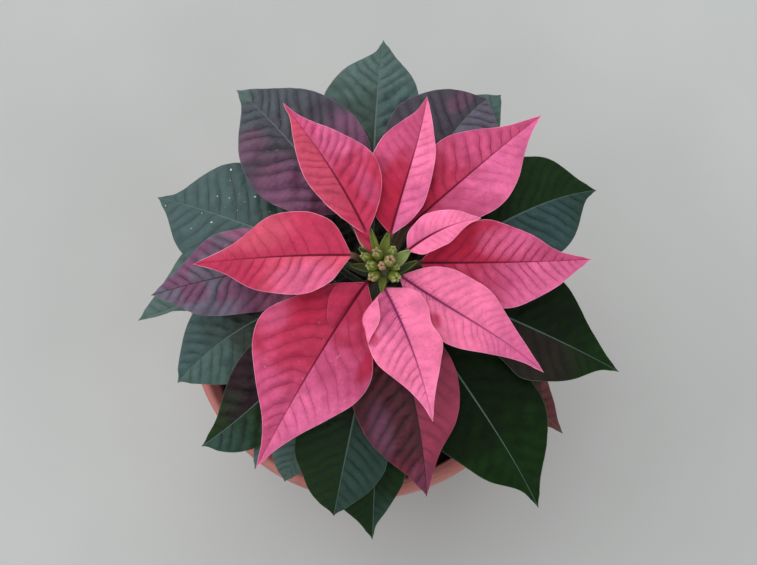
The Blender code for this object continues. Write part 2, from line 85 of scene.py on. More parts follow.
# Edges of the turned forms, which begin and end a little beside their axis.
AXIS_GAP = 0.5
POT_MIDDLE = 30.0
POT_ROUNDING = 1.4
FOOT_BEVEL = 1.5
BAND_BEVEL = 1.2
BAND_RISE = 3.0
LIP_BEVEL = 1.6
LIP_INSIDE = 3.4
LIP_ROUNDING = 1.2
LIP_DROP = 1.4
FLOOR_FILLET = 2.0
FLOOR_SLOPE = 3.0
DRAIN_SIDES = 32
POT_SHARP = 50

# The soil stands clear of the wall and the stem; its top is lumpy and falls off at the wall.
SOIL_GAP = 0.6
SOIL_HOLE_GAP = 0.3
SOIL_RINGS = 84
SOIL_BROW = 1.6
SOIL_BROW_WIDTH = 1.2
SOIL_WAVE = 1.6
# Height, size and seed of each drift on the soil.
SOIL_LUMPS = ((0.9, 9.0, 31), (0.7, 4.0, 32), (0.35, 2.2, 33))
SOIL_SHARP = 60

STEM_RINGS = 150
STEM_SIDES = 48
STEM_INSET = 0.05
STEM_SHARP = 50
SWELLING = 0.34
SWELLING_WIDTH = 2.2
SWELLING_LENGTH = 2.6
SCAR = 0.15
SCAR_DROP = 3.6
SCAR_WIDTH = 3.0
SCAR_LENGTH = 0.5
RIDGE = 0.08
RIDGE_COUNT = 5

TIP_HALF_WIDTH = 0.5
STATIONS = np.array([0.0, 0.08, 0.22, 0.36, 0.5, 0.64, 0.78, 0.9, 1.0])
# Over the last share of a blade, its width narrows to this share of itself.
POINT_REACH = 0.05
POINT_WIDTH = 0.25
STALK_HALF_WIDTH = 1.5
STALK_REACH = 0.35
STALK_THICK = 2.4
STALK_ROWS = 14
FOLD_REACH = 0.16
WAVE_SHIFT = 2.1
BOW_TO_CONTROL = 4 / 3
SLOPE_STEP = 0.01
DENSE_FOOT = 0.04
BLADE_THICK = 0.45
BLADE_SWELL = 0.25
RIDGE_WIDTH = 1.7

# How far the side veins stray, as a share of the midrib, and how unevenly they stand.
VEIN_WANDER = 0.011
VEIN_WANDER_SIZE = 17.0
VEIN_SHIVER = 0.002
VEIN_SHIVER_SIZE = 6.0
VEIN_UNEVEN = 0.08
VEIN_BEAT = 2.3
LEAST_CHANGE = 0.05

QUILT_GAIN = 2.1
# Where side veins stand closer than this, the quilt between them is lower.
FULL_SPACING = 8.0
GROOVE_DEPTH = 0.3
GROOVE_WIDTH = 0.7
CRINKLE = 0.3
CRINKLE_SIZE = 7.0
FINE_CRINKLE = 0.16
FINE_CRINKLE_SIZE = 3.5

# Noise on the blades, by the width of its lumps, and how far it shifts what it frays.
BLOTCH_SIZE = 9.0
CRUMPLE_SIZE = 3.2
GRAIN_SIZE = 1.3
PORE_SIZE = 0.45
SPECK_SIZE = 1.9
END_FRAY = 0.36
VEIN_FRAY = 0.35
# Distance from the midrib over which the two halves of a blade run into each other.
HALF_BLEND = 0.2
# Markings: the dark band beside a vein, the meshes and veinlets between two veins.
BAND_REACH = 1.9
BAND_SHARE = 0.34
MESHES_BETWEEN = 3.2
MESH_SHARE = 0.16
VEINLETS_BETWEEN = 2.7
VEINLET_REACH = (8.0, 4.0)
BACK_SHARE = 0.4
# Height of the relief that the finish adds.
VEIN_RELIEF = -0.16
MESH_RELIEF = -0.05
GRAIN_RELIEF = 0.07
PORE_RELIEF = 0.025

FOLD_ROWS = 64
FOLD_COLUMNS = 25
FOLD_CLEAR = 0.12
FOLD_DIP = 0.4
FOLD_DIP_REACH = 0.06
FOLD_THICK = 0.4

CUP_FOOT = -3.0
CUP_LIP = 6.0
CUP_MIDDLE = 3.4
CUP_LEAN = 0.8
CUP_PROFILE = [
    (0.05, CUP_FOOT), (1.1, CUP_FOOT), (1.3, -0.8), (2.3, 0.8), (2.75, 2.9), (2.35, 4.6),
    (1.5, 5.6), (0.7, CUP_LIP), (0.05, 5.5),
]
CUP_RINGS = 60
CUP_SIDES = 40
CUP_LOBES = 5
LOBE_SWELL = 0.07
LOBE_LIFT = 0.22
MOUTH_RADIUS = 0.55
MOUTH_DEPTH = 0.9
MOUTH_FROM = 4.0
CUP_UNEVEN = 0.14
CUP_UNEVEN_SIZE = 2.4
# Each cup's place beside the head's axis, the height of its middle, its size and, from 0 to
# 1, how brown its tips are.
CUPS = [
    (-8.1, 2.7, 266.0, 0.84, 0.0), (-3.3, 4.0, 267.5, 0.95, 0.55),
    (-6.0, -1.2, 267.0, 0.88, 0.1), (-5.0, -5.6, 265.5, 0.95, 0.6),
    (-1.3, -1.4, 268.0, 0.8, 1.0), (2.0, 0.6, 268.5, 1.0, 0.8), (4.6, -1.6, 266.5, 0.7, 0.2),
    (3.1, 5.2, 267.0, 0.78, 0.1), (4.3, -6.0, 265.5, 0.98, 0.0),
]
DOME_PROFILE = [(0.3, 0.3), (5.4, 0.3), (6.4, 1.5), (5.0, 3.7), (2.8, 4.8), (0.3, 5.2)]
DOME_SIDES = 48
# Each bractlet's root and tip from the head's axis, its half width and its colour; the
# dark colour of the lowest three is painted shade under the cups.
BRACTLETS = [
    ((3.6, 0.4, 264.8), (10.8, 5.4, 269.5), 2.7, "bractlet_pale"),
    ((-1.3, 3.2, 264.8), (1.3, 13.4, 269.5), 2.35, "bractlet"),
    ((-2.9, 3.4, 264.4), (-6.6, 16.4, 266.0), 1.6, "bractlet"),
    ((-0.8, -4.6, 264.8), (-1.5, -12.2, 266.0), 1.6, "bractlet"),
    ((-5.6, 3.0, 264.0), (-11.6, 8.0, 265.0), 1.7, "bractlet_dark"),
    ((-5.2, -1.4, 263.2), (-15.4, 0.6, 262.5), 1.7, "bractlet_dark"),
    ((5.6, -2.4, 263.2), (14.2, 2.2, 263.0), 1.6, "bractlet_dark"),
]
BRACTLET_SHARES = [0.0, 0.15, 0.3, 0.6, 0.85, 1.0]
BRACTLET_WIDTHS = [0.55, 0.85, 1.0, 0.8, 0.36, 0.04]
BRACTLET_GRID = (36, 15)
BRACTLET_CUPPING = 0.35
BRACTLET_ARCH = 1.5
BRACTLET_GROOVE = 0.25
BRACTLET_THICK = 0.55
BRACTLET_VEINS = 6

# The camera looks down on the plant from the south, tilted from the upright.
CAMERA_PLACE = (6.6, -167.8, 1058.9)
CAMERA_TILT = 11.5
SENSOR_WIDTH = 36.0
LENS = 86.87

# The window's soft light falls from the upper left, over this angle.
WINDOW_TOWARDS = (0.62, -0.55, -0.85)
WINDOW_TINT = (0.97, 0.985, 1.0)
WINDOW_SPREAD = 100
FILL_TOWARDS = (-0.5, 0.6, -0.8)
FILL_TINT = (1.0, 0.99, 0.97)
ROOM_TINT = (0.95, 0.97, 1.0, 1.0)


@dataclass
class Leaf:
    """A leaf or bract: its stalk's azimuth and height on the stem, then its blade.

    base and tip are points, rise and sway the lift and the sideways bow of the midrib at
    its first and last third, left and right the half widths seen from above at the
    STATIONS between the ends, fold the slope of the two halves at base, middle and tip,
    curl the bend of the margins, and wave the ripple's height, count and phase.
    """

    name: str
    stalk: tuple
    base: tuple
    tip: tuple
    left: tuple
    right: tuple
    rise: tuple = (3.0, 3.0)
    sway: tuple = (0.0, 0.0)
    roll: tuple = (0.0, 0.0)
    fold: tuple = (0.25, 0.08, 0.0)
    curl: float = -0.12
    wave: tuple = (1.0, 3.0, 0.0)


BRACTS = [
    Leaf("bract_upper_left", (103, 256.5), (1, 16.5, 267), (-37.3, 80.6, 252),
         (5, 9.5, 11.5, 12, 9.5, 5.5, 1.5), (8, 16.5, 20, 18.5, 12.5, 5.5, 1.8),
         rise=(4, 5), sway=(2, 1), roll=(4, 0), wave=(1.2, 2.5, 0.4)),
    Leaf("bract_upper", (78, 253), (12.2, 17.2, 262), (29.1, 85.6, 246),
         (9, 15, 18, 18, 16, 9, 3), (6, 10.5, 11, 10.5, 9, 5.5, 2.5),
         rise=(3, 5), sway=(0, 2), wave=(1.2, 3, 2.0)),
    Leaf("bract_upper_right", (60, 249.5), (20.4, 21.8, 255), (82.8, 78.8, 239),
         (7, 15, 20, 20, 15.5, 7, 3), (8, 15, 19, 20, 16, 8.5, 3),
         rise=(3, 5), wave=(1.2, 3, 1.0)),
    Leaf("bract_small_right", (34, 257.5), (20.2, 8.7, 265), (52.6, 23.6, 263),
         (5.5, 8, 9.5, 9, 7.5, 5, 2), (5, 6.5, 7, 7, 5, 2.5, 1),
         rise=(2, 3), sway=(-2, -2), wave=(0.6, 2, 0.0)),
    Leaf("bract_right", (12, 250.5), (26.2, 5, 254), (104.8, 10.6, 236),
         (8, 16, 20, 18.5, 13.5, 6, 2.5), (8, 16, 20, 21, 17, 11.5, 5),
         rise=(3, 6), sway=(1, 2), wave=(1.2, 3, 3.0)),
    Leaf("bract_lower_right", (-26, 253.5), (17.1, -2.3, 258.5), (81.4, -42.9, 241),
         (9, 15.5, 17, 16, 11.5, 6, 2.5), (6, 11, 14.5, 13.5, 9.5, 5, 2),
         rise=(3, 5), sway=(1, -2), wave=(1.2, 3, 0.6)),
    Leaf("bract_lower", (-88, 254.5), (9.5, -9, 263.5), (30.9, -66.1, 247),
         (10, 14, 12.5, 14, 10, 5, 2), (12, 16, 17.5, 16.5, 11.5, 6, 2.2),
         rise=(3, 5), sway=(-2, -2), wave=(1.0, 3, 1.5)),
    Leaf("bract_lower_left", (-139, 250.5), (0.8, -5.6, 258.5), (-48.6, -85.5, 236),
         (10, 18, 25.5, 25, 18, 9.5, 3.5), (12, 23, 31.5, 29.5, 20, 8.5, 2.8),
         rise=(-2, 3), sway=(2, 1), roll=(-5, 0), wave=(1.4, 2.5, 0.0)),
    Leaf("bract_left", (165, 256.5), (-6.1, 5.5, 268), (-78, 6.1, 246),
         (10, 16, 17.5, 16, 13, 6.5, 2.5), (12, 19, 21, 19, 13, 6, 2.5),
         rise=(2, 5), sway=(1, 0), wave=(1.2, 3, 2.2)),
    Leaf("bract_tiny", (133, 260), (2.6, 7.2, 264.5), (-6.5, 25, 262),
         (1.6, 1.6, 1.8, 1.5, 1.2, 0.8, 0.5), (2.4, 3, 3.6, 4, 3.8, 3, 1.6),
         rise=(1, 1), wave=(0.3, 2, 0)),
]


@dataclass
class Fold:
    """Part of a bract that is folded over its own face, between two lines on the blade.

    inner and outer are points of share and place across; the raised one is free and
    stands this high above the blade, and at the other the fold joins it.
    """

    leaf: str
    inner: tuple
    outer: tuple
    raised: str
    height: float


FOLDS = [
    Fold("bract_lower",
         ((0.02, 0.94), (0.05, 0.62), (0.09, 0.46), (0.16, 0.48), (0.215, 0.62), (0.27, 0.86),
          (0.315, 0.985)),
         ((0.02, 1.01), (0.05, 1.02), (0.09, 1.03), (0.16, 1.03), (0.215, 1.02), (0.27, 1.01),
          (0.32, 1.0)), "inner", 1.9),
    Fold("bract_lower_left",
         ((0.0, 0.04), (0.03, 0.04), (0.07, 0.04), (0.11, 0.04), (0.16, 0.04), (0.21, 0.04),
          (0.25, 0.04)),
         ((0.012, 0.99), (0.06, 0.99), (0.103, 0.75), (0.147, 0.55), (0.189, 0.38),
          (0.232, 0.22), (0.256, 0.07)), "outer", 2.3),
]

TURNING_LEAVES = [
    Leaf("leaf_turning_upper_left", (118, 243), (-8.8, 31, 245), (-60.9, 95.1, 226),
         (13, 22, 26, 26, 22.5, 15, 4.5), (18, 28, 31, 31, 27, 18.5, 9),
         rise=(4, 7), sway=(1, 2), wave=(1.8, 2.5, 0.5)),
    Leaf("leaf_turning_upper_right", (74, 242), (18.8, 30.1, 243), (60, 97, 206),
         (14, 22, 27, 29, 29, 24, 14), (10, 14, 18, 22, 24, 21, 13),
         rise=(4, 13), sway=(-1, -4), wave=(1.8, 2.5, 1.5)),
    Leaf("leaf_turning_left", (168, 243), (-13.3, 7.8, 244), (-99.6, -3.6, 222),
         (12, 16, 18.5, 19, 17.5, 14, 6), (12, 18, 20, 21.5, 19.5, 12.5, 5),
         rise=(4, 7), sway=(2, 1), wave=(1.8, 3, 0.0)),
    Leaf("leaf_turning_lower", (-81, 242), (12.7, -19, 243), (28.7, -96.8, 216),
         (13, 19, 22, 21, 16.5, 8, 3), (14, 23, 27.5, 27, 24, 16.5, 7),
         rise=(4, 8), sway=(-2, -3), wave=(1.8, 2.5, 0.8)),
    Leaf("leaf_turning_lower_left", (-150, 240), (-8.7, -8.9, 239), (-75.7, -73.2, 212),
         (10, 14, 17, 18, 18, 16, 10), (10, 15, 20, 21.5, 19, 13, 5),
         rise=(4, 8), sway=(-5, -6), wave=(1.8, 2.5, 2.0)),
]

GREEN_LEAVES = [
    Leaf("leaf_green_top", (97, 214), (4, 45.5, 228), (9.1, 129, 200),
         (14, 20, 24, 26, 24.5, 17, 3.5), (12, 17, 20, 21, 19.5, 15, 6),
         rise=(4, 7), sway=(-1, -1)),
    Leaf("leaf_green_upper_right", (64, 200), (30.8, 46.1, 215), (67, 102.5, 195),
         (8, 14, 18, 19, 18, 14, 9), (8, 11, 13, 13, 11, 8.5, 4),
         rise=(3, 6)),
    Leaf("leaf_green_upper_left", (152, 216), (-29.9, 18.7, 230), (-100, 48, 204),
         (12, 18, 23, 25, 24, 18, 6.5), (14, 21, 27, 29.5, 26, 16, 4),
         rise=(4, 8), wave=(1.5, 2.5, 1.0)),
    Leaf("leaf_green_left", (180, 203), (-30.5, 9.2, 214), (-110, -9.4, 188),
         (9, 11, 11, 9, 5, 1.5, 1), (12, 18, 23, 25, 25, 16, 7),
         rise=(4, 7)),
    Leaf("leaf_green_lower_left", (-165, 212), (-20.5, -4.7, 228), (-89.3, -41, 196),
         (12, 17, 20, 21, 20, 17, 9), (10, 15, 18, 20.5, 21, 16.5, 8),
         rise=(4, 8), sway=(5, 5)),
    Leaf("leaf_green_low_left", (-130, 200), (-20.5, -34.2, 224), (-50.8, -83.9, 213),
         (6, 8, 9, 8, 6, 3, 1.5), (6, 10, 13, 13, 11, 7, 4),
         rise=(3, 5)),
    Leaf("leaf_green_lowest_left", (-122, 186), (-16, -42.4, 200), (-38.6, -86.7, 180),
         (6, 10, 12, 13, 12, 8, 4), (6, 10, 13, 15, 15, 13, 8),
         rise=(3, 5)),
    Leaf("leaf_green_lower", (-103, 208), (-1, -43.5, 222), (-14.7, -103.5, 186),
         (12, 16, 18.5, 19.5, 19, 14.5, 7), (14, 20, 24, 25, 23.5, 18.5, 12),
         rise=(4, 8)),
    Leaf("leaf_green_bottom", (-90, 191), (6.4, -50.7, 206), (3.6, -113.5, 168),
         (10, 13, 15, 15, 12.5, 7, 1.5), (10, 15, 18, 20, 20, 17, 6),
         rise=(4, 8)),
    Leaf("leaf_green_lower_right", (-48, 218), (28, -19.1, 230), (82.2, -100.1, 192),
         (14, 20, 24.5, 27, 26, 18, 6.5), (14, 21, 25.5, 26.5, 21.5, 14.5, 3.5),
         rise=(4, 9), sway=(0, -2), wave=(1.5, 2.5, 0.5)),
    Leaf("leaf_green_right", (-13, 224), (44, -6.2, 232), (120.6, -36.6, 202),
         (14, 22, 27, 27, 21, 11, 4), (12, 16, 19.5, 23, 19.5, 13, 3.5),
         rise=(4, 8)),
    Leaf("leaf_green_far_right", (24, 226), (48.7, 18.8, 236), (111.1, 50, 210),
         (12, 20, 24, 25.5, 25, 20, 7), (12, 18, 22, 24.5, 22, 15, 4),
         rise=(4, 8), sway=(-2, -3)),
    Leaf("leaf_maroon_low_right", (-34, 186), (50, -28, 204), (97.9, -60.8, 158),
         (7, 12, 16, 17, 15, 9, 3), (6, 9, 11, 12, 10, 6, 2),
         rise=(6, 10)),
]


@dataclass
class Look:
    """How one blade is coloured and quilted.

    left and right name the colours of its two halves at the foot, in the middle and at
    the tip; foot_reach and tip_start are the shares of the midrib where the ends give
    way. These colours are partly the blade's own and partly painted light and shade,
    paler where the window's light falls and darker at the foot, in the shade of the
    leaves above. patch is a colour that shows through in patches of patch_size over
    patch_share of the blade. count is the number of side veins on each half, slopes how
    far forward they run for each millimetre outwards at the foot and at the tip of the
    left and right halves, bend how much more so towards the margin, crowd how much closer
    they stand at the tip, and phase where they start. quilt is the height of the blade
    between the veins at the foot and at the tip of the two halves. vein_share is how
    strongly the veins of the two halves are drawn, veinlets how strongly the short ones
    beside the foot of the midrib, midrib_tip how much of the midrib is left at the tip,
    and valley how much darker the blade is towards the veins of the two halves, and
    lighter between them: painted shade and light on the quilt. Each of the spots is a
    share of the midrib, a distance from it, to the right where it is positive, the spot's
    half length as a share and its half width, its colour and how much of it shows; many
    spots paint light and shade, such as the shadow under a neighbouring leaf. crumple is
    the depth of the finest relief, and specks how strongly dust shows.
    """

    left: tuple
    right: tuple
    foot_reach: float = 0.3
    tip_start: float = 0.7
    patch: str = ""
    patch_size: float = 12.0
    patch_share: float = 0.3
    count: float = 10.0
    slopes: tuple = ((0.5, 0.8), (0.5, 0.8))
    bend: tuple = (0.2, 0.2)
    crowd: float = 0.25
    phase: tuple = (0.2, 0.6)
    quilt: tuple = ((0.4, 0.4), (0.4, 0.4))
    midrib: str = "bract_rib"
    vein: str = "bract_vein"
    vein_share: tuple = (0.34, 0.34)
    veinlets: float = 0.0
    valley: tuple = (0.1, 0.1)
    spots: tuple = ()
    midrib_tip: float = 0.4
    margin: str = "bract_margin"
    stalk: str = "stalk_olive"
    roughness: float = 0.55
    gloss: float = 0.1
    crumple: float = 0.2
    specks: float = 0.0


# The bracts' colours are partly their own and partly painted light and shade: halves
# and tips are paler where the window's light falls, feet darker in the shade of the
# bracts above, and the crimson and cherry spots paint the shadow where a neighbour lies
# over a bract, reddened as by light through it. The first spot of the upper left bract
# paints the sheen on its ridges.
BRACT_LOOKS = {
    "bract_upper_left": Look(
        ("cherry", "coral", "coral"), ("cherry", "cherry", "rose"), count=11, stalk="cherry",
        slopes=((1.0, 0.45), (0.5, 0.85)), bend=(0.1, 0.2), crowd=0.35, midrib_tip=0.2,
        quilt=((0.4, 1.3), (0.2, 1.7)), phase=(0.3, 0.7), foot_reach=0.2, tip_start=0.4,
        crumple=0.35, vein_share=(0.35, 0.35), valley=(0.18, 0.26),
        spots=((0.62, 9.0, 0.16, 7.0, "half_lit_pink", 0.55), (0.25, 10.0, 0.14, 5.0, "rose", 0.6),
               (0.7, -5.0, 0.2, 4.0, "salmon", 0.5))),
    "bract_upper": Look(
        ("crimson", "cherry", "rose"), ("half_lit_pink", "pink", "pink"), count=11,
        slopes=((0.5, 1.2), (0.4, 0.7)), quilt=((0.15, 0.6), (0.5, 0.3)), foot_reach=0.4,
        tip_start=0.5,
        vein_share=(0.22, 0.26), crumple=0.35, valley=(0.06, 0.1),
        spots=((0.6, -13.0, 0.25, 6.0, "rose", 0.7), (0.2, -8.0, 0.15, 9.0, "crimson", 0.6))),
    "bract_upper_right": Look(
        ("cherry", "rose", "rose"), ("rose", "half_lit_pink", "half_lit_pink"), count=10, foot_reach=0.45,
        slopes=((0.6, 0.8), (0.9, 0.7)), bend=(0.1, 0.1), quilt=((0.5, 0.7), (0.2, 0.45)),
        vein_share=(0.5, 0.18), tip_start=0.5, phase=(0.0, 0.5), valley=(0.16, 0.04),
        spots=((0.16, -10.0, 0.12, 14.0, "crimson", 0.8),)),
    "bract_small_right": Look(
        ("half_lit_pink", "pink", "pink"), ("pink", "pink", "pink"), count=9, midrib_tip=0.1,
        slopes=((0.6, 0.9), (0.4, 0.6)), quilt=((0.3, 0.25), (0.15, 0.3)),
        vein_share=(0.13, 0.1), tip_start=0.45),
    "bract_right": Look(
        ("crimson", "cherry", "rose"), ("cherry", "rose", "half_lit_pink"), count=12, foot_reach=0.34,
        tip_start=0.5,
        slopes=((0.7, 0.9), (0.3, 0.7)), bend=(0.1, 0.4), quilt=((0.3, 0.5), (0.3, 0.35)),
        vein_share=(0.7, 0.5), spots=((0.5, -9.0, 0.2, 8.0, "half_lit_pink", 0.6),
                                      (0.2, -12.0, 0.12, 10.0, "crimson", 0.8))),
    "bract_lower_right": Look(
        ("pink", "pink", "half_lit_pink"), ("pink", "pink", "half_lit_pink"), count=13,
        slopes=((0.3, 0.5), (0.5, 0.9)), bend=(0.3, 0.2), quilt=((0.3, 0.4), (0.5, 0.9)),
        crowd=0.5, vein="navy_vein", midrib="navy_vein", vein_share=(0.14, 0.2), veinlets=0.55,
        tip_start=0.6, spots=((0.29, 9.0, 0.06, 4.0, "cherry", 0.8),)),
    "bract_lower": Look(
        ("pink", "pink", "blush"), ("half_lit_pink", "pink", "blush"), count=11,
        slopes=((0.0, 0.3), (0.15, 1.0)), bend=(0.1, 0.25), quilt=((0.1, 0.1), (0.6, 0.7)),
        vein="navy_vein", midrib="navy_vein", vein_share=(0.1, 0.34), veinlets=0.55,
        crumple=0.14, midrib_tip=0.3, valley=(0.02, 0.12),
        spots=((0.3, 14.8, 0.06, 3.2, "cherry", 0.8), (0.13, 5.0, 0.16, 5.0, "rose", 0.5))),
    "bract_lower_left": Look(
        ("cherry", "rose", "half_lit_pink"), ("cherry", "cherry", "rose"), count=10, stalk="burgundy",
        slopes=((0.8, 0.8), (0.35, 0.7)), bend=(0.25, 0.5), quilt=((0.25, 0.5), (0.4, 0.9)),
        specks=0.15, tip_start=0.5, vein_share=(0.34, 0.44), crumple=0.3, valley=(0.06, 0.12),
        spots=((0.31, -21.0, 0.11, 4.0, "crimson", 0.8), (0.3, 27.0, 0.16, 8.0, "half_lit_pink", 0.5),
               (0.22, 17.0, 0.12, 11.0, "crimson", 0.8))),
    "bract_left": Look(
        ("salmon", "salmon", "cherry"), ("cherry", "cherry", "cherry"), count=10,
        slopes=((0.4, 0.6), (0.4, 0.85)), bend=(0.3, 0.03), quilt=((0.5, 0.7), (0.2, 0.3)),
        vein_share=(0.5, 0.4), valley=(0.16, 0.06), tip_start=0.5,
        spots=((0.26, -12.0, 0.26, 10.0, "half_lit_pink", 0.6), (0.8, 3.0, 0.16, 6.0, "cherry", 0.5),
               (0.6, 13.0, 0.26, 11.0, "salmon", 1.0), (0.84, 6.0, 0.12, 5.0, "coral", 0.7))),
    "bract_tiny": Look(
        ("bractlet", "cherry", "cherry"), ("cherry", "cherry", "cherry"), count=5,
        quilt=((0.1, 0.1), (0.1, 0.1)), vein_share=(0.1, 0.1), midrib="cherry"),
}

FOLD_LOOKS = {
    "bract_lower": Look(
        ("pink", "pink", "blush"), ("pink", "pink", "blush"), count=11, vein="navy_vein",
        vein_share=(0.06, 0.06), foot_reach=0.05, slopes=((0.2, 0.2), (0.2, 0.2)), crumple=0.1),
    "bract_lower_left": Look(
        ("cherry", "cherry", "cherry"), ("cherry", "cherry", "cherry"), count=10, margin="rose",
        vein_share=(0.1, 0.1), foot_reach=0.1, crumple=0.25),
}

# As on the bracts, the turning leaves' dark feet and their halves' colours are partly
# painted shade and light besides the leaves' own colour.
TURNING = dict(
    midrib="slate_vein", vein="slate_vein", vein_share=(0.5, 0.5), margin="grey_margin",
    patch_size=16, stalk="stalk_green", gloss=0.25, crumple=0.35, midrib_tip=0.8,
    valley=(0.34, 0.34),
)
TURNING_LOOKS = {
    "leaf_turning_upper_left": Look(**TURNING | dict(
        left=("plum", "slate", "sage"), right=("plum", "slate", "sage"), count=9,
        slopes=((0.7, 0.8), (0.8, 1.1)), bend=(0.0, 0.3),
        quilt=((0.8, 1.1), (0.8, 1.1)), tip_start=0.62, midrib="pale_vein",
        phase=(0.2, 0.5), spots=(
            (0.3, -16.0, 0.24, 17.0, "violet", 0.95), (0.66, -15.0, 0.12, 10.0, "violet", 0.6),
            (0.34, 25.0, 0.18, 11.0, "violet", 0.95), (0.98, 0.0, 0.1, 9.0, "sea", 0.8)),
        specks=0.1)),
    "leaf_turning_upper_right": Look(**TURNING | dict(
        left=("slate", "slate", "slate"), right=("slate", "mauve", "mauve"), count=9,
        slopes=((0.5, 0.8), (0.6, 0.8)), quilt=((0.5, 0.5), (0.6, 0.6)), midrib="pale_vein",
        spots=((0.85, -8.0, 0.12, 5.0, "violet", 0.6), (0.55, 18.0, 0.2, 8.0, "violet", 0.5)))),
    "leaf_turning_left": Look(**TURNING | dict(
        left=("maroon", "violet", "mauve"), right=("plum", "violet", "mauve"), count=10,
        patch="violet", slopes=((0.6, 0.7), (0.6, 0.7)), quilt=((0.5, 0.6), (0.5, 0.6)),
        tip_start=0.5, spots=(
            (0.45, 22.0, 0.14, 7.0, "orchid", 0.8), (0.3, -16.0, 0.16, 8.0, "orchid", 0.7)))),
    "leaf_turning_lower": Look(**TURNING | dict(
        left=("burgundy", "maroon", "maroon"), right=("burgundy", "wine", "burgundy"),
        count=9, slopes=((0.3, 0.6), (0.6, 0.9)), bend=(0.4, 0.2), vein_share=(0.3, 0.5),
        quilt=((0.3, 0.3), (0.9, 1.2)), valley=(0.1, 0.42), margin="wine_margin", foot_reach=0.25,
        tip_start=0.8, spots=((0.6, 17.0, 0.2, 6.0, "violet", 0.5),
                              (0.92, 0.0, 0.12, 10.0, "plum", 0.6)))),
    "leaf_turning_lower_left": Look(**TURNING | dict(
        left=("aubergine", "green", "moss"), right=("aubergine", "aubergine", "green"),
        count=9, slopes=((0.5, 0.8), (0.5, 0.7)), quilt=((0.6, 0.6), (0.8, 0.8)),
        midrib="pale_vein", margin="green_margin", tip_start=0.75, foot_reach=0.35, gloss=0.1,
        crumple=0.7)),
}

# Deep green, at the feet and on the darkest leaves, is painted shade.
GREEN = dict(
    left=("deep_green", "green", "green"), right=("deep_green", "green", "green"),
    midrib="pale_vein", vein="deep_vein", margin="green_margin", count=9, roughness=0.42,
    stalk="stalk_green", gloss=0.08,
    vein_share=(0.45, 0.45), crumple=0.22, midrib_tip=0.7, valley=(0.2, 0.2),
)
# Teal and sea green paint the window's sheen on the leaves at the top and left that face
# it, besides their own colour.
TEAL = GREEN | dict(
    left=("moss", "teal", "teal"), right=("moss", "teal", "teal"), gloss=0.28,
    vein_share=(0.35, 0.35), valley=(0.25, 0.25))
GREEN_LOOKS = {
    "leaf_green_top": Look(**TEAL | dict(
        left=("green", "moss", "sea"), right=("green", "teal", "sea"),
        slopes=((0.7, 1.0), (0.7, 1.0)), quilt=((0.6, 0.6), (0.65, 0.65)), tip_start=0.6)),
    "leaf_green_upper_left": Look(**TEAL | dict(
        slopes=((0.4, 0.7), (0.3, 0.6)), quilt=((0.3, 0.3), (0.4, 0.5)), specks=0.9)),
    "leaf_green_lower_left": Look(**TEAL | dict(
        left=("deep_green", "moss", "sea"), right=("deep_green", "moss", "teal"),
        slopes=((0.4, 0.7), (0.6, 0.9)), quilt=((0.35, 0.4), (0.5, 0.6)), tip_start=0.6,
        foot_reach=0.55)),
    "leaf_green_lower": Look(**GREEN | dict(
        left=("moss", "moss", "moss"), slopes=((0.5, 0.8), (0.4, 0.7)),
        quilt=((0.5, 0.5), (0.5, 0.5)), gloss=0.12)),
    "leaf_green_bottom": Look(**GREEN | dict(
        left=("green", "green", "moss"), quilt=((0.4, 0.4), (0.5, 0.5)))),
    "leaf_green_lower_right": Look(**GREEN | dict(
        left=("deep_green", "deep_green", "green"), right=("deep_green", "deep_green", "green"),
        quilt=((0.3, 0.3), (0.3, 0.3)), vein_share=(0.3, 0.3), tip_start=0.6, gloss=0.04)),
    "leaf_green_right": Look(**GREEN | dict(
        left=("deep_green", "deep_green", "green"), right=("bronze", "bronze", "green"),
        gloss=0.05)),
    "leaf_green_far_right": Look(**GREEN | dict(
        right=("teal", "teal", "moss"), slopes=((0.8, 1.0), (0.5, 0.8)),
        quilt=((0.4, 0.4), (0.8, 0.8)))),
    "leaf_maroon_low_right": Look(**GREEN | dict(
        left=("deep_green", "green", "brick"), right=("deep_green", "green", "brick"),
        tip_start=0.55)),
}
# These four leaves are sea green all over, partly the window's sheen painted on them.
GREEN_LOOKS |= {
    "leaf_green_" + side: Look(**TEAL | dict(left=("sea",) * 3, right=("sea",) * 3))
    for side in ("upper_right", "left", "low_left", "lowest_left")
}


def unit(vectors):
    """The vectors, each over its own length."""
    return vectors / np.linalg.norm(vectors, axis=-1, keepdims=True)


def step(value, low, high):
    """0 below low and 1 above high, with a smooth S between."""
    share = np.clip((value - low) / (high - low), 0.0, 1.0)
    return share * share * (3 - 2 * share)


def drift(points, size, seed):
    """A smooth random field of about -1 to 1: nine waves near this size, in random directions."""
    random = np.random.default_rng(seed)
    total = np.zeros(points.shape[:-1])
    for _ in range(9):
        direction = unit(random.normal(size=3)) * 2 * np.pi / (size * random.uniform(0.7, 1.4))
        total += np.sin(points @ direction + random.uniform(0, 2 * np.pi))
    return total / 3


def bezier(ends, share):
    """Points on the cubic curve of four control points at these shares of it."""
    s = share[..., None]
    a, b, c, d = (np.asarray(end, float) for end in ends)
    return a * (1 - s) ** 3 + 3 * b * s * (1 - s) ** 2 + 3 * c * s**2 * (1 - s) + d * s**3


def bezier_tangent(ends, share):
    """The curve's direction: from a point a small step behind to one a small step ahead."""
    ahead = bezier(ends, np.minimum(share + SLOPE_STEP, 1.0))
    behind = bezier(ends, np.maximum(share - SLOPE_STEP, 0.0))
    return unit(ahead - behind)


def stem_centre(height):
    """The stem's axis: upright in the soil, then leaning with the square of the height."""
    share = np.clip((np.asarray(height, float) - SOIL_TOP) / (STEM_HEAD - SOIL_TOP), 0, None)
    return np.stack([STEM_LEAN[0] * share**2, STEM_LEAN[1] * share**2, height + 0 * share], -1)


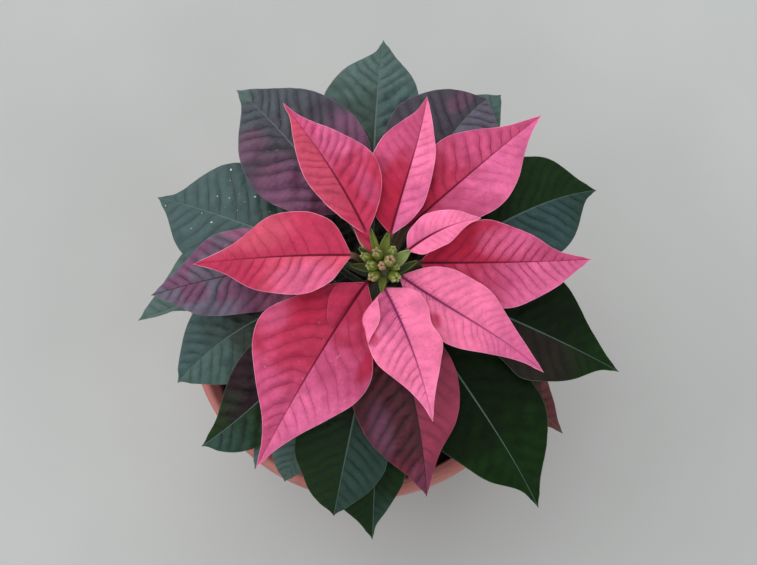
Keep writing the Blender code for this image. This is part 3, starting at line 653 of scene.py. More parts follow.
def stem_radius(height):
    """A straight taper from the stem's foot to its head."""
    share = (height - STEM_FOOT) / (STEM_HEAD - STEM_FOOT)
    return STEM_FOOT_RADIUS + (STEM_HEAD_RADIUS - STEM_FOOT_RADIUS) * share


def midrib_controls(leaf):
    """The four control points of the blade's midrib."""
    base, tip = np.array(leaf.base, float), np.array(leaf.tip, float)
    along = tip - base
    across = unit(np.array([along[1], -along[0], 0.0]))
    bows = [
        (UP * rise + across * sway) * BOW_TO_CONTROL for rise, sway in zip(leaf.rise, leaf.sway)
    ]
    return base, base + along / 3 + bows[0], base + along * 2 / 3 + bows[1], tip


def stalk_controls(leaf):
    """The stalk leaves at a right angle to the stem and meets the blade along the midrib."""
    azimuth, height = np.radians(leaf.stalk[0]), leaf.stalk[1]
    out = np.array([np.cos(azimuth), np.sin(azimuth), 0.0])
    root = stem_centre(height) + out * (stem_radius(height) + STALK_GAP)
    lean = unit(stem_centre(height + 1.0) - stem_centre(height - 1.0))
    start = unit(out - lean * np.dot(out, lean))
    base, first = midrib_controls(leaf)[:2]
    reach = np.linalg.norm(base - root) * STALK_REACH
    return root, root + start * reach, base - unit(first - base) * reach, base


def smooth_curve(values, share, stations=STATIONS):
    """A smooth curve through the values at the stations, read at these shares.

    Between two stations it is the cubic that has their values, and their neighbours' slopes.
    """
    slopes = np.gradient(values, stations)
    index = np.clip(np.searchsorted(stations, share, side="right") - 1, 0, len(stations) - 2)
    width = stations[index + 1] - stations[index]
    s = (share - stations[index]) / width
    return (
        values[index] * (1 + 2 * s) * (1 - s) ** 2
        + slopes[index] * width * s * (1 - s) ** 2
        + values[index + 1] * s**2 * (3 - 2 * s)
        - slopes[index + 1] * width * s**2 * (1 - s)
    )


def by_half(across, left, right):
    """left on a blade's left half, where the place across is negative, and right elsewhere."""
    return np.where(across < 0, left, right)


def half_widths(widths, share):
    """Half widths at these shares of the midrib: a smooth curve, drawn in near the tip."""
    values = np.array([STALK_HALF_WIDTH, *widths, TIP_HALF_WIDTH])
    point = POINT_WIDTH + (1 - POINT_WIDTH) * np.clip((1 - share) / POINT_REACH, 0, 1)
    return np.maximum(smooth_curve(values, share), TIP_HALF_WIDTH) * point


def blade_surface(leaf, share, across):
    """Smooth upper face at each share of the midrib and place across, -1 to 1.

    A point is the midrib's, moved sideways by the half width times the place across, and
    up by a fold that rises from the midrib, a curl that bends the margin and a ripple
    that grows with the square of the place across. Returns the points, the directions up
    from the blade, and the distance sideways in millimetres.
    """
    line = bezier(midrib_controls(leaf), share)
    tangent = bezier_tangent(midrib_controls(leaf), share)
    level = unit(np.cross(tangent, UP))
    lift = np.cross(level, tangent)
    roll = np.radians(leaf.roll[0] + (leaf.roll[1] - leaf.roll[0]) * share)[..., None]
    side = level * np.cos(roll) - lift * np.sin(roll)
    normal = lift * np.cos(roll) + level * np.sin(roll)
    left, right = half_widths(leaf.left, share), half_widths(leaf.right, share)
    reach = by_half(across, left, right) * across
    foot, middle, end = leaf.fold
    fold = middle + (end - middle) * share + (foot - middle) * np.exp(-((share / FOLD_REACH) ** 2))
    height, count, phase = leaf.wave
    swell = np.sin(np.pi * np.clip(share, 0, 1))
    ripple = np.sin(2 * np.pi * count * share + phase + WAVE_SHIFT * np.sign(across))
    rise = np.abs(reach) * (fold + leaf.curl * np.abs(across))
    rise = rise + height * swell * ripple * across**2
    return line + side * reach[..., None] + normal * rise[..., None], normal, reach


def grid_gradient(values, points):
    """How fast the values change per millimetre over a grid of points."""
    total = np.zeros(values.shape)
    for axis in (0, 1):
        run = np.linalg.norm(np.gradient(points, axis=axis), axis=-1)
        total += (np.gradient(values, axis=axis) / np.maximum(run, 1e-3)) ** 2
    return np.sqrt(total)


def vein_numbers(leaf, look, share, across, points):
    """Running numbers of the left and right side veins, and their change per millimetre.

    A vein's number is its count times the share of the midrib where it starts, which is a
    point's own share less the vein's forward run: a slope times the distance outwards
    and a bend that adds to it near the margin. A slow sine of the number makes the veins
    stand unevenly. Both are carried past the midrib, so that either can be read next to it.
    """
    length = np.linalg.norm(np.subtract(leaf.tip, leaf.base))
    wander = VEIN_WANDER * drift(points, VEIN_WANDER_SIZE, len(leaf.name))
    wander = wander + VEIN_SHIVER * drift(points, VEIN_SHIVER_SIZE, 4)
    numbers = []
    for index, (sign, widths) in enumerate(((-1, leaf.left), (1, leaf.right))):
        outward = sign * across * half_widths(widths, share)
        foot, tip = look.slopes[index]
        lean = foot + (tip - foot) * share + look.bend[index] * np.abs(across)
        start = share - lean * outward / length + wander
        number = look.count * (start + look.crowd * start * np.abs(start)) + look.phase[index]
        uneven = VEIN_UNEVEN * np.sin(VEIN_BEAT * number + len(leaf.name) + index)
        numbers.append(number + uneven)
    left, right = numbers
    change = by_half(across, grid_gradient(left, points), grid_gradient(right, points))
    return left, right, change


def quilted(leaf, look, share, across):
    """The blade's finished upper face, with its attributes.

    The smooth face is raised between the side veins by the quilt height times a rounded
    arch of the vein number, less near the midrib and margin and where veins crowd, and
    lowered by a narrow groove along the midrib.
    """
    smooth, normal, reach = blade_surface(leaf, share, across)
    left, right, change = vein_numbers(leaf, look, share, across, smooth)
    foot, tip = (by_half(across, *pair) for pair in zip(*look.quilt))
    quilt = foot + (tip - foot) * share
    arch = np.abs(np.sin(np.pi * by_half(across, left, right))) ** 0.8 - 0.5
    spacing = 1.0 / np.maximum(change, LEAST_CHANGE)
    fade = step(np.abs(reach), 0.3, 5.0) * (1 - 0.75 * np.abs(across) ** 4)
    fade = fade * np.clip(spacing / FULL_SPACING, 0.2, 1.0) * step(share, 0.02, 0.12)
    crinkle = CRINKLE * drift(smooth, CRINKLE_SIZE, 3 + len(leaf.name))
    crinkle = crinkle + FINE_CRINKLE * drift(smooth, FINE_CRINKLE_SIZE, 5)
    groove = -GROOVE_DEPTH * np.exp(-((reach / GROOVE_WIDTH) ** 2)) * step(share, 0.0, 0.06)
    relief = QUILT_GAIN * quilt * fade * (arch + crinkle) + groove * (1 - 0.7 * share)
    half = by_half(across, half_widths(leaf.left, share), half_widths(leaf.right, share))
    place = np.stack([reach, share, half * (1 - np.abs(across))], -1)
    return smooth + normal * relief[..., None], place, np.stack([left, right, change], -1)


def surface_normals(points):
    """Directions up from a grid: at right angles to its rows and its columns."""
    along = np.gradient(points, axis=0)
    over = np.gradient(points, axis=1)
    return unit(np.cross(over, along))


def stalk_rows(leaf, share, across):
    """The stalk's upper side: half an ellipse over a line from the stem to the blade."""
    controls = stalk_controls(leaf)
    s, v = np.meshgrid(share, across, indexing="ij")
    tangent = bezier_tangent(controls, s)
    side = unit(np.cross(tangent, UP))
    normal = np.cross(side, tangent)
    sag = (np.sqrt(np.maximum(1 - v**2, 0)) - 1) * STALK_THICK / 2
    sag = sag * step(1 - s, 0.0, 0.3)
    over = side * (STALK_HALF_WIDTH * v)[..., None] + normal * sag[..., None]
    place = np.stack([STALK_HALF_WIDTH * v, s - 1, STALK_HALF_WIDTH * (1 - np.abs(v)) + 1.0], -1)
    return bezier(controls, s) + over, place


def blade_sheet(leaf, look):
    """Grids of a leaf's upper face, lower face and attributes, stalk first.

    The lower face lies under the upper by the blade's thickness, which grows to a rib
    with a bell curve of the distance from the midrib, and by half an ellipse on the stalk.
    """
    sizes = settings()[0]
    half = np.append(np.linspace(0, 0.97, sizes.blade_columns) ** 1.25, [0.985, 1.0])
    across = np.concatenate([-half[:0:-1], half])
    foot_rows = np.linspace(0, DENSE_FOOT, 6)[:-1]
    share = np.concatenate([foot_rows, np.linspace(DENSE_FOOT, 1, sizes.blade_rows)])
    blade, place, veins = quilted(leaf, look, *np.meshgrid(share, across, indexing="ij"))
    stalk, stalk_place = stalk_rows(leaf, np.linspace(0, 1, STALK_ROWS + 1)[:-1], across)
    upper = np.concatenate([stalk, blade])
    place = np.concatenate([stalk_place, place])
    veins = np.concatenate([np.full(stalk.shape, (0.5, 0.5, 0.2)), veins])
    along = place[..., 1]
    rib = np.interp(along, [-1, 0, 0.3, 1], [STALK_THICK, STALK_THICK, 1.5, 0.8])
    ridge = np.exp(-((place[..., 0] / RIDGE_WIDTH) ** 2))
    thick = BLADE_THICK + (rib - BLADE_THICK) * ridge + BLADE_SWELL * (1 - np.abs(across[None, :]))
    round_stalk = 0.2 + (STALK_THICK - 0.2) * np.sqrt(np.maximum(1 - across[None, :] ** 2, 0))
    thick = thick + (round_stalk - thick) * step(-along, 0.0, 0.3)
    return upper, upper - surface_normals(upper) * thick[..., None], place, veins


def grid_quads(rows, columns, closed=False):
    """Quads of a grid, facing up where rows run forwards and columns to the right."""
    number = np.arange(rows * columns).reshape(rows, columns)
    after = np.roll(number, -1, axis=1) if closed else number[:, 1:]
    here = number if closed else number[:, :-1]
    return np.stack([here[:-1], after[:-1], after[1:], here[1:]], -1).reshape(-1, 4)


def sheet_quads(rows, columns):
    """Quads of an upper face, the lower face under it and the wall between them."""
    upper = grid_quads(rows, columns)
    below = rows * columns
    number = np.arange(below).reshape(rows, columns)
    rim = np.concatenate([number[:, 0], number[-1, 1:], number[-2::-1, -1], number[0, -2:0:-1]])
    after = np.roll(rim, -1)
    wall = np.stack([rim, after, after + below, rim + below], -1)
    return np.concatenate([upper, upper[:, ::-1] + below, wall])


def linked(name, data):
    """A new object of this data, at the scene's origin."""
    made = bpy.data.objects.new(name, data)
    bpy.context.scene.collection.objects.link(made)
    return made


def new_piece(name, points, faces, attributes=(), sharp=None):
    """A smooth-shaded mesh object of these points in millimetres, at the origin."""
    mesh = bpy.data.meshes.new(name)
    points = np.asarray(points, float).reshape(-1, 3)
    mesh.from_pydata((points * MM).tolist(), [], faces)
    mesh.update()
    for title, values in attributes:
        layer = mesh.attributes.new(title, "FLOAT_VECTOR", "POINT")
        layer.data.foreach_set("vector", np.asarray(values, np.float32).ravel())
    mesh.shade_smooth()
    if sharp:
        mesh.set_sharp_from_angle(angle=np.radians(sharp))
    return linked(name, mesh)


def finish_piece(piece, material, slot, *nodes):
    """Dresses a piece and has it stand for its solids."""
    piece.data.materials.append(material)
    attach(piece, BODY)
    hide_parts(*nodes)


def sheet_piece(name, sheet, look, slot, node, under=-1):
    """A closed sheet of an upper and a lower face with its place and vein attributes.

    The lower face's distance from the margin is multiplied by under, so that -1 marks a
    paler back.
    """
    upper, lower, place, veins = sheet
    faces = sheet_quads(*upper.shape[:2]).tolist()
    attributes = [("leaf_place", [place, place * (1, 1, under)]), ("leaf_veins", [veins, veins])]
    piece = new_piece(name, [upper, lower], faces, attributes)
    finish_piece(piece, leaf_material(name, look), slot, node)


def fold_sheet(fold, leaf, look):
    """The folded part of a bract: a thin closed sheet over the blade's own smooth face.

    A row runs from the inner line to the outer one. Its height grows from the joined line
    with the root of the distance and towards the middle of the fold's length with the
    root of a sine, and at the joined line the sheet dips under the blade.
    """
    length = np.linspace(0.01, 0.99, FOLD_ROWS)
    width = np.linspace(0, 1, FOLD_COLUMNS)
    stations = np.linspace(0, 1, len(fold.inner))
    lines = []
    for line in (fold.inner, fold.outer):
        values = np.array(line)
        lines.append([smooth_curve(values[:, axis], length, stations)[:, None] for axis in (0, 1)])
    share, across = (inner + (outer - inner) * width for inner, outer in zip(*lines))
    smooth, normal, reach = blade_surface(leaf, share, across)
    free = 1 - width if fold.raised == "inner" else width
    swell = np.sqrt(np.sin(np.pi * length))[:, None]
    dip = FOLD_DIP * swell * np.exp(-((free / FOLD_DIP_REACH) ** 2))
    lift = FOLD_CLEAR + fold.height * swell * np.sqrt(free) - dip
    upper = smooth + normal * lift[..., None]
    run = np.linalg.norm(np.diff(upper, axis=1), axis=-1).sum(axis=1)[:, None]
    left, right, change = vein_numbers(leaf, look, share, across, smooth)
    place = np.stack([reach, share, run * (1 - free)], -1)
    veins = np.stack([left, right, np.maximum(change, LEAST_CHANGE)], -1)
    return upper, upper - surface_normals(upper) * FOLD_THICK, place, veins


class Value:
    """What flows out of a node's socket, for use in sums."""

    def __init__(self, nodes, socket):
        self.nodes, self.socket = nodes, socket

    def __add__(self, other):
        return self.nodes.math("ADD", self, other)

    def __sub__(self, other):
        return self.nodes.math("SUBTRACT", self, other)

    def __mul__(self, other):
        return self.nodes.math("MULTIPLY", self, other)

    def __truediv__(self, other):
        return self.nodes.math("DIVIDE", self, other)

    def __abs__(self):
        return self.nodes.math("ABSOLUTE", self)


class Nodes:
    """One material's node tree, with short ways to add what these surfaces need."""

    def __init__(self, name):
        self.material = bpy.data.materials.new(name)
        self.material.use_nodes = True
        self.tree = self.material.node_tree
        self.shader = next(node for node in self.tree.nodes if node.type == "BSDF_PRINCIPLED")
        self.sizes, self.colours = settings()
        self.place = Value(self, self.tree.nodes.new("ShaderNodeTexCoord").outputs["Object"])

    def feed(self, socket, value):
        """Links a value to a socket or sets it, with a colour given by its name or as a tuple."""
        if isinstance(value, Value):
            self.tree.links.new(value.socket, socket)
        elif isinstance(value, str):
            socket.default_value = (*getattr(self.colours, value), 1.0)
        elif socket.type == "RGBA":
            socket.default_value = (*value, 1.0)
        else:
            socket.default_value = value

    def add(self, kind, inputs=(), **options):
        """Adds a node with these options, feeds its numbered or named inputs, gives its outputs."""
        node = self.tree.nodes.new("ShaderNode" + kind)
        for name, option in options.items():
            setattr(node, name, option)
        for key, value in dict(inputs).items():
            self.feed(node.inputs[key], value)
        return [Value(self, socket) for socket in node.outputs]

    def math(self, operation, *values, clamp=False):
        return self.add("Math", enumerate(values), operation=operation, use_clamp=clamp)[0]

    def ramp(self, value, low, high, start=0.0, end=1.0):
        """start below low, end above high, with a smooth S between."""
        values = enumerate((value, low, high, start, end))
        return self.add("MapRange", values, interpolation_type="SMOOTHSTEP")[0]

    def mix(self, share, first, second, kind="MIX"):
        colours = {0: share, 6: first, 7: second}
        return self.add("Mix", colours, data_type="RGBA", blend_type=kind)[2]

    def noise(self, size, detail=2.0, stretch=None):
        """Noise from 0 to 1 whose lumps are about this many millimetres wide."""
        place = self.place
        if stretch:
            place = self.add("Mapping", {"Vector": place, "Scale": stretch})[0]
        inputs = {"Vector": place, "Scale": 1 / (size * MM), "Detail": detail}
        return self.add("TexNoise", inputs)[0]

    def attribute(self, name):
        """The three numbers that a vector attribute carries."""
        return self.add("SeparateXYZ", {0: self.add("Attribute", attribute_name=name)[1]})

    def cells(self, first, second):
        """Distance to the nearest border of a net of cells, one cell to each unit."""
        place = self.add("CombineXYZ", {0: first, 1: second})[0]
        options = {"voronoi_dimensions": "2D", "feature": "DISTANCE_TO_EDGE"}
        return self.add("TexVoronoi", {"Vector": place, "Scale": 1.0}, **options)[0]

    def bump(self, height):
        """Relief from a height in millimetres."""
        relief = self.add("Bump", {"Height": height, "Distance": MM})[0]
        self.feed(self.shader.inputs["Normal"], relief)

    def finish(self, colour, roughness, gloss=0.5):
        self.feed(self.shader.inputs["Base Color"], colour)
        self.feed(self.shader.inputs["Roughness"], roughness)
        self.shader.inputs["Specular IOR Level"].default_value = gloss
        return self.material


class BladeNodes(Nodes):
    """A blade's finish, drawn from its own attributes.

    Each half has its colour, which gives way to others at the foot, at the tip, in
    patches and in spots; these carry painted light and shade as well as the blade's own
    colour. Side veins are drawn where their running number is near a whole one, fading
    outwards, with a darker band beside them and a fine net between, and the midrib, the
    margin and the stalk by their distances.
    """

    def __init__(self, name, look):
        super().__init__(name)
        self.look = look
        self.distance, self.share, edge = self.attribute("leaf_place")
        left, right, self.change = self.attribute("leaf_veins")
        self.blotch, self.crumple = self.noise(BLOTCH_SIZE, 3.0), self.noise(CRUMPLE_SIZE)
        self.fine = self.noise(GRAIN_SIZE)
        self.wander = self.blotch * END_FRAY - END_FRAY / 2
        self.below = self.ramp(edge, 0.02, -0.02)
        self.edge, self.aside = abs(edge), abs(self.distance)
        self.half = self.ramp(self.distance, -HALF_BLEND, HALF_BLEND)
        self.number = (right - left) * self.half + left
        self.off_vein = self.math("PINGPONG", self.number, 0.5)

    def tissue(self):
        """The two halves' colours with their feet, tips, patches and spots."""
        look = self.look
        along = self.share + self.wander
        foot = self.ramp(along, look.foot_reach + 0.14, look.foot_reach - 0.16)
        tip = self.ramp(along, look.tip_start - 0.1, look.tip_start + 0.18)
        # The halves' colours and their feet carry painted light and shade besides the blade's own.
        halves = [
            self.mix(tip, self.mix(foot, middle, base), end)
            for base, middle, end in (look.left, look.right)
        ]
        tissue = self.mix(self.half, *halves)
        if look.patch:
            middle = 0.66 - 0.36 * look.patch_share
            patches = self.ramp(self.noise(look.patch_size, 3.0), middle - 0.07, middle + 0.07)
            tissue = self.mix(patches, tissue, look.patch)
        placed = self.wander * 0.15 + self.share
        # Many spots paint light and shade, such as the shadow under a neighbouring leaf and the
        # sheen on ridges; others are the blade's own colour.
        for share, distance, length, width, colour, strength in look.spots:
            along, over = (placed - share) / length, (self.distance - distance) / width
            ring = along * along + over * over
            tissue = self.mix(self.ramp(ring, 1.4, 0.1, 0.0, strength), tissue, colour)
        return tissue

    def shaded(self, tissue):
        """The tissue, darker towards the veins and lighter between them, painted shade and light
        on the quilt, and faintly clouded: at random by the blotches, and lighter on the rises
        of the crumple and grain relief, which paints shade into their hollows.
        """
        clouds = self.ramp(self.blotch, 0.25, 0.75, 0.84, 1.1)
        clouds = clouds * self.ramp(self.crumple, 0.25, 0.75, 0.94, 1.06)
        clouds = clouds * self.ramp(self.fine, 0.2, 0.8, 0.93, 1.06)
        valley = self.ramp(self.half, 0.0, 1.0, *self.look.valley) * self.ramp(self.aside, 0.4, 4.0)
        shade = clouds * ((self.ramp(self.off_vein, 0.0, 0.42) - 0.6) * valley + 1.0)
        grey = self.add("CombineColor", enumerate((shade, shade, shade)))[0]
        return self.mix(1.0, tissue, grey, "MULTIPLY")

    def veined(self, tissue):
        """The tissue with its side veins, the net between them, veinlets and specks.

        Returns the height of the veins and the net too.
        """
        look, vein, width = self.look, self.look.vein, self.sizes.vein_width / MM
        near = self.off_vein / self.change + (self.fine - 0.5) * VEIN_FRAY
        drawn = self.ramp(self.half, 0.0, 1.0, *look.vein_share)
        outwards = self.aside / (self.aside + self.edge + 0.1)
        drawn = drawn * self.ramp(outwards, 0.15, 0.95, 1.25, 0.5)
        drawn = drawn * self.ramp(self.blotch, 0.3, 0.7, 0.7, 1.15)
        meshes = self.distance / (self.sizes.net_size / MM)
        net = self.cells(meshes, self.number * MESHES_BETWEEN)
        thread = self.ramp(net, 0.1, 0.02)
        tissue = self.mix(thread * drawn * MESH_SHARE, tissue, vein)
        drawn_in = drawn * self.ramp(self.edge, 0.5, 5.0)
        band = self.ramp(near, BAND_REACH, 0.1, 0.0, BAND_SHARE)
        tissue = self.mix(band * drawn_in, tissue, vein)
        line = self.ramp(near, width, 0.3 * width, 0.0, 1.25)
        line = self.math("MULTIPLY", line, drawn_in, clamp=True)
        tissue = self.mix(line, tissue, vein)
        if look.veinlets:
            beside = self.math("PINGPONG", self.number * VEINLETS_BETWEEN, 0.5) / self.change
            short = self.ramp(self.crumple * 9.0 + self.aside, *VEINLET_REACH)
            short = short * self.ramp(self.share, 0.5, 0.2, 0.0, look.veinlets)
            tissue = self.mix(short * self.ramp(beside, 1.2, 0.3), tissue, vein)
        if look.specks:
            speck = self.ramp(self.noise(SPECK_SIZE, 0.0), 0.82, 0.86, 0.0, look.specks)
            tissue = self.mix(speck, tissue, "dust")
        return tissue, line * VEIN_RELIEF + thread * MESH_RELIEF

    def ribbed(self, tissue):
        """The tissue with its midrib, which narrows and fades towards the tip."""
        look, width = self.look, self.sizes.midrib_width / MM
        off_rib = self.aside / self.ramp(self.share, 0.0, 0.9, width, 0.3 * width)
        strength = self.ramp(self.share, 0.25, 1.0, 1.0, look.midrib_tip)
        reach, depth = (1.8, 0.3) if look.veinlets else (1.2, 0.25)
        dark = self.ramp(off_rib, reach, 0.4, 0.0, depth) * self.ramp(self.share, -0.02, 0.02)
        tissue = self.mix(dark * strength, tissue, look.vein)
        return self.mix(self.ramp(off_rib, 0.64, 0.36) * strength, tissue, look.midrib)

    def bordered(self, tissue):
        """The tissue with its pale margin, partly the edge's own paler colour and partly a
        painted highlight where the rim catches the light, its paler back and the stalk's
        skin.
        """
        look, width = self.look, self.sizes.margin_width / MM
        pale = self.ramp(self.edge, width, 0.3 * width)
        pale = pale * self.ramp(self.blotch, 0.3, 0.7, 0.3, 0.7)
        tissue = self.mix(pale, tissue, look.margin)
        tissue = self.mix(self.below * BACK_SHARE, tissue, look.margin)
        skin = self.mix(self.ramp(self.blotch, 0.35, 0.7, 0.0, 0.2), look.stalk, look.vein)
        return self.mix(self.ramp(self.wander * 0.2 + self.share, 0.03, -0.06), tissue, skin)


def leaf_material(name, look):
    """A blade's whole finish, with the relief of its veins, net and crumples."""
    nodes = BladeNodes(name, look)
    tissue, height = nodes.veined(nodes.shaded(nodes.tissue()))
    tissue = nodes.bordered(nodes.ribbed(tissue))
    height = nodes.crumple * look.crumple + nodes.fine * GRAIN_RELIEF + height
    nodes.bump(nodes.noise(PORE_SIZE, 1.0) * PORE_RELIEF + height)
    rough = nodes.ramp(nodes.fine, 0.25, 0.75, look.roughness - 0.06, look.roughness + 0.08)
    return nodes.finish(tissue, rough, look.gloss)


def closed_tube(rings):
    """Points and faces of a tube through these rings, closed on the middle of each end."""
    rows, columns = rings.shape[:2]
    ends = [rings[0].mean(axis=0, keepdims=True), rings[-1].mean(axis=0, keepdims=True)]
    first, last = np.arange(columns), np.arange(columns) + (rows - 1) * columns
    middle = np.full(columns, rows * columns)
    fans = [
        np.stack([np.roll(first, -1), first, middle], -1),
        np.stack([last, np.roll(last, -1), middle + 1], -1),
    ]
    quads = grid_quads(rows, columns, closed=True).tolist()
    return np.concatenate([rings.reshape(-1, 3), *ends]), quads + np.concatenate(fans).tolist()


def joined(forms):
    """One list of points and faces from several closed forms."""
    points, faces, start = [], [], 0
    for form_points, form_faces in forms:
        points.append(form_points)
        faces += [[index + start for index in face] for face in form_faces]
        start += len(form_points)
    return np.concatenate(points), faces


def rounded(profile, radius, cuts=5):
    """The profile with each corner turned into a parabola that begins this far from it."""
    profile = np.asarray(profile, float)
    line = [profile[0]]
    share = np.linspace(0, 1, cuts)[:, None]
    for before, corner, after in zip(profile, profile[1:], profile[2:]):
        start, end = (
            corner + unit(way) * min(radius, 0.45 * np.linalg.norm(way))
            for way in (before - corner, after - corner)
        )
        line += list(start * (1 - share) ** 2 + 2 * corner * share * (1 - share) + end * share**2)
    return np.array([*line, profile[-1]])


def spun(profile, sides):
    """Rings of a profile of radius and height, turned about the upright axis."""
    turn = np.linspace(0, 2 * np.pi, sides, endpoint=False)
    radius, height = np.asarray(profile)[:, :1], np.asarray(profile)[:, 1:]
    return np.stack([radius * np.cos(turn), radius * np.sin(turn), height + 0 * turn], -1)


def inner_wall(height):
    """Radius inside the pot: the outside's straight taper up to the collar, less the wall."""
    return np.interp(height, [0, POT_COLLAR], [POT_FOOT_RADIUS, POT_WAIST_RADIUS]) - POT_WALL


def pot_profile():
    """From the floor's middle up the outside, over the rim and back down the inside."""
    foot, waist, mouth = POT_FOOT_RADIUS, POT_WAIST_RADIUS, POT_MOUTH_RADIUS
    corner_height = POT_FLOOR + FLOOR_FILLET
    corner = inner_wall(corner_height)
    lip = mouth - LIP_INSIDE
    body = [
        (AXIS_GAP, 0), (POT_MIDDLE, 0), (foot - FOOT_BEVEL, 0), (foot, FOOT_BEVEL),
        (waist, POT_COLLAR), (mouth - BAND_BEVEL, POT_COLLAR + BAND_BEVEL),
        (mouth, POT_COLLAR + BAND_RISE), (mouth, POT_HEIGHT - LIP_BEVEL),
        (mouth - LIP_BEVEL, POT_HEIGHT), (lip, POT_HEIGHT),
        (lip - LIP_ROUNDING, POT_HEIGHT - LIP_DROP), (waist - POT_WALL, POT_COLLAR),
        (corner, corner_height), (corner - FLOOR_SLOPE, POT_FLOOR), (POT_MIDDLE, POT_FLOOR),
        (AXIS_GAP, POT_FLOOR),
    ]
    return rounded(body, POT_ROUNDING)


def drained(piece):
    """Cuts the drain holes: upright cylinders on a circle round the floor's middle."""
    body = bmesh.new()
    for turn in np.arange(DRAIN_COUNT) * 2 * np.pi / DRAIN_COUNT + np.pi / DRAIN_COUNT:
        middle = Vector((np.cos(turn) * DRAIN_CIRCLE, np.sin(turn) * DRAIN_CIRCLE, 0.0)) * MM
        bmesh.ops.create_cone(
            body, cap_ends=True, segments=DRAIN_SIDES, radius1=DRAIN_RADIUS * MM,
            radius2=DRAIN_RADIUS * MM, depth=4 * POT_FLOOR * MM, matrix=Matrix.Translation(middle),
        )
    mesh = bpy.data.meshes.new("drains")
    body.to_mesh(mesh)
    body.free()
    cutter = linked("drains", mesh)
    cut = piece.modifiers.new("drains", "BOOLEAN")
    cut.operation = "DIFFERENCE"
    cut.solver = "EXACT"
    cut.object = cutter
    graph = bpy.context.evaluated_depsgraph_get()
    finished = bpy.data.meshes.new_from_object(piece.evaluated_get(graph))
    piece.modifiers.clear()
    piece.data = finished
    bpy.data.objects.remove(cutter, do_unlink=True)
    piece.data.shade_smooth()
    piece.data.set_sharp_from_angle(angle=np.radians(POT_SHARP))


def pot_material():
    """Moulded plastic: a pinkish clay colour with faint clouds, scuffs and rings."""
    nodes = Nodes("moulded pot")
    clouds = nodes.noise(26.0, 3.0)
    rings = nodes.noise(3.0, stretch=(0.02, 0.02, 1.0))
    tone = nodes.mix(nodes.ramp(clouds, 0.35, 0.7), "pot", "pot_dark")
    scuffs = nodes.ramp(nodes.noise(5.0, 5.0), 0.55, 0.75, 0.0, 0.22)
    tone = nodes.mix(scuffs, tone, "pot_dust")
    nodes.bump(rings * 0.05 + nodes.noise(0.8) * 0.03)
    return nodes.finish(tone, nodes.ramp(clouds, 0.3, 0.7, 0.5, 0.66), 0.4)


def soil_rings(sides):
    """Earth from the pot's floor up its wall and over the top to the stem's hollow.

    The top is lumpy: two waves that cross, plus drifts of 9, 4 and 2.2 millimetres.
    """
    hole = STEM_FOOT_RADIUS + SOIL_HOLE_GAP
    corner = inner_wall(POT_FLOOR + FLOOR_FILLET)
    outer = inner_wall(POT_COLLAR) - SOIL_GAP
    foot, bottom = POT_FLOOR + 0.3, STEM_FOOT - 0.2
    lower = [
        (AXIS_GAP, foot), (corner - 4, foot), (corner - 0.7, foot + 2.3), (outer, POT_COLLAR),
        (outer - 0.2, SOIL_TOP - 3.0),
    ]
    radii = np.linspace(outer - SOIL_GAP, hole, SOIL_RINGS)
    brow = SOIL_TOP - SOIL_BROW * np.exp(-(outer - SOIL_GAP - radii) / SOIL_BROW_WIDTH)
    down = [(hole, SOIL_TOP - 4.0), (hole, bottom), (AXIS_GAP, bottom)]
    rings = spun(np.concatenate([lower, np.stack([radii, brow], -1), down]), sides)
    x, y = rings[..., 0], rings[..., 1]
    flat = np.stack([x, y, 0 * x], -1)
    waves = np.sin(0.21 * x + 1.0) * np.sin(0.19 * y) + 0.6 * np.sin(0.37 * x - 0.29 * y)
    lumps = SOIL_WAVE * waves
    for height, size, seed in SOIL_LUMPS:
        lumps = lumps + height * drift(flat, size, seed)
    top = slice(len(lower), len(lower) + SOIL_RINGS)
    rings[top, :, 2] += lumps[top]
    return rings


def soil_material():
    """Peat: black-brown crumbs with paler fibres, kept darker than its own colour as
    painted shade of the leaves over it, and darkest in the hollows of its relief, painted
    shade too.
    """
    nodes = Nodes("peat")
    crumbs = nodes.noise(2.2, 4.0)
    fibres = nodes.ramp(nodes.noise(1.0, 3.0, stretch=(1.0, 0.18, 1.0)), 0.6, 0.7, 0.0, 0.6)
    tone = nodes.mix(nodes.ramp(crumbs, 0.35, 0.65), "soil_dark", "soil")
    tone = nodes.mix(fibres, tone, "soil_fibre")
    nodes.bump(nodes.noise(0.7, 3.0) * 0.5 + crumbs * 1.2)
    return nodes.finish(tone, nodes.ramp(crumbs, 0.3, 0.7, 0.98, 0.85), 0.2)


def stem_rings(leaves):
    """The stem's rings: a taper that leans, with a low swelling and a scar under each stalk.

    Both fall away with the square of the distance along the stem and round it. Higher up
    the stem has shallow ridges, a sine of five turns round it.
    """
    heights = np.concatenate([[STEM_FOOT], np.linspace(STEM_FOOT + 1, STEM_HEAD, STEM_RINGS)])
    turn = np.linspace(0, 2 * np.pi, STEM_SIDES, endpoint=False)
    height, angle = np.meshgrid(heights, turn, indexing="ij")
    radius = stem_radius(height) - STEM_INSET + 0 * angle
    for leaf in leaves:
        azimuth, level = np.radians(leaf.stalk[0]), leaf.stalk[1]
        aside, above = np.angle(np.exp(1j * (angle - azimuth))) * radius, height - level
        swelling = np.exp(-((aside / SWELLING_WIDTH) ** 2) - (above / SWELLING_LENGTH) ** 2)
        radius = radius + SWELLING * swelling
        scar = np.exp(-(((above + SCAR_DROP) / SCAR_LENGTH) ** 2) - (aside / SCAR_WIDTH) ** 2)
        radius = radius - SCAR * scar
    ridges = RIDGE * np.sin(RIDGE_COUNT * angle + 0.02 * height) * step(height, 130, 150)
    radius = np.minimum(radius + ridges, stem_radius(height) + SWELLING)
    out = np.stack([np.cos(angle), np.sin(angle), 0 * angle], -1)
    return stem_centre(height) + out * radius[..., None]


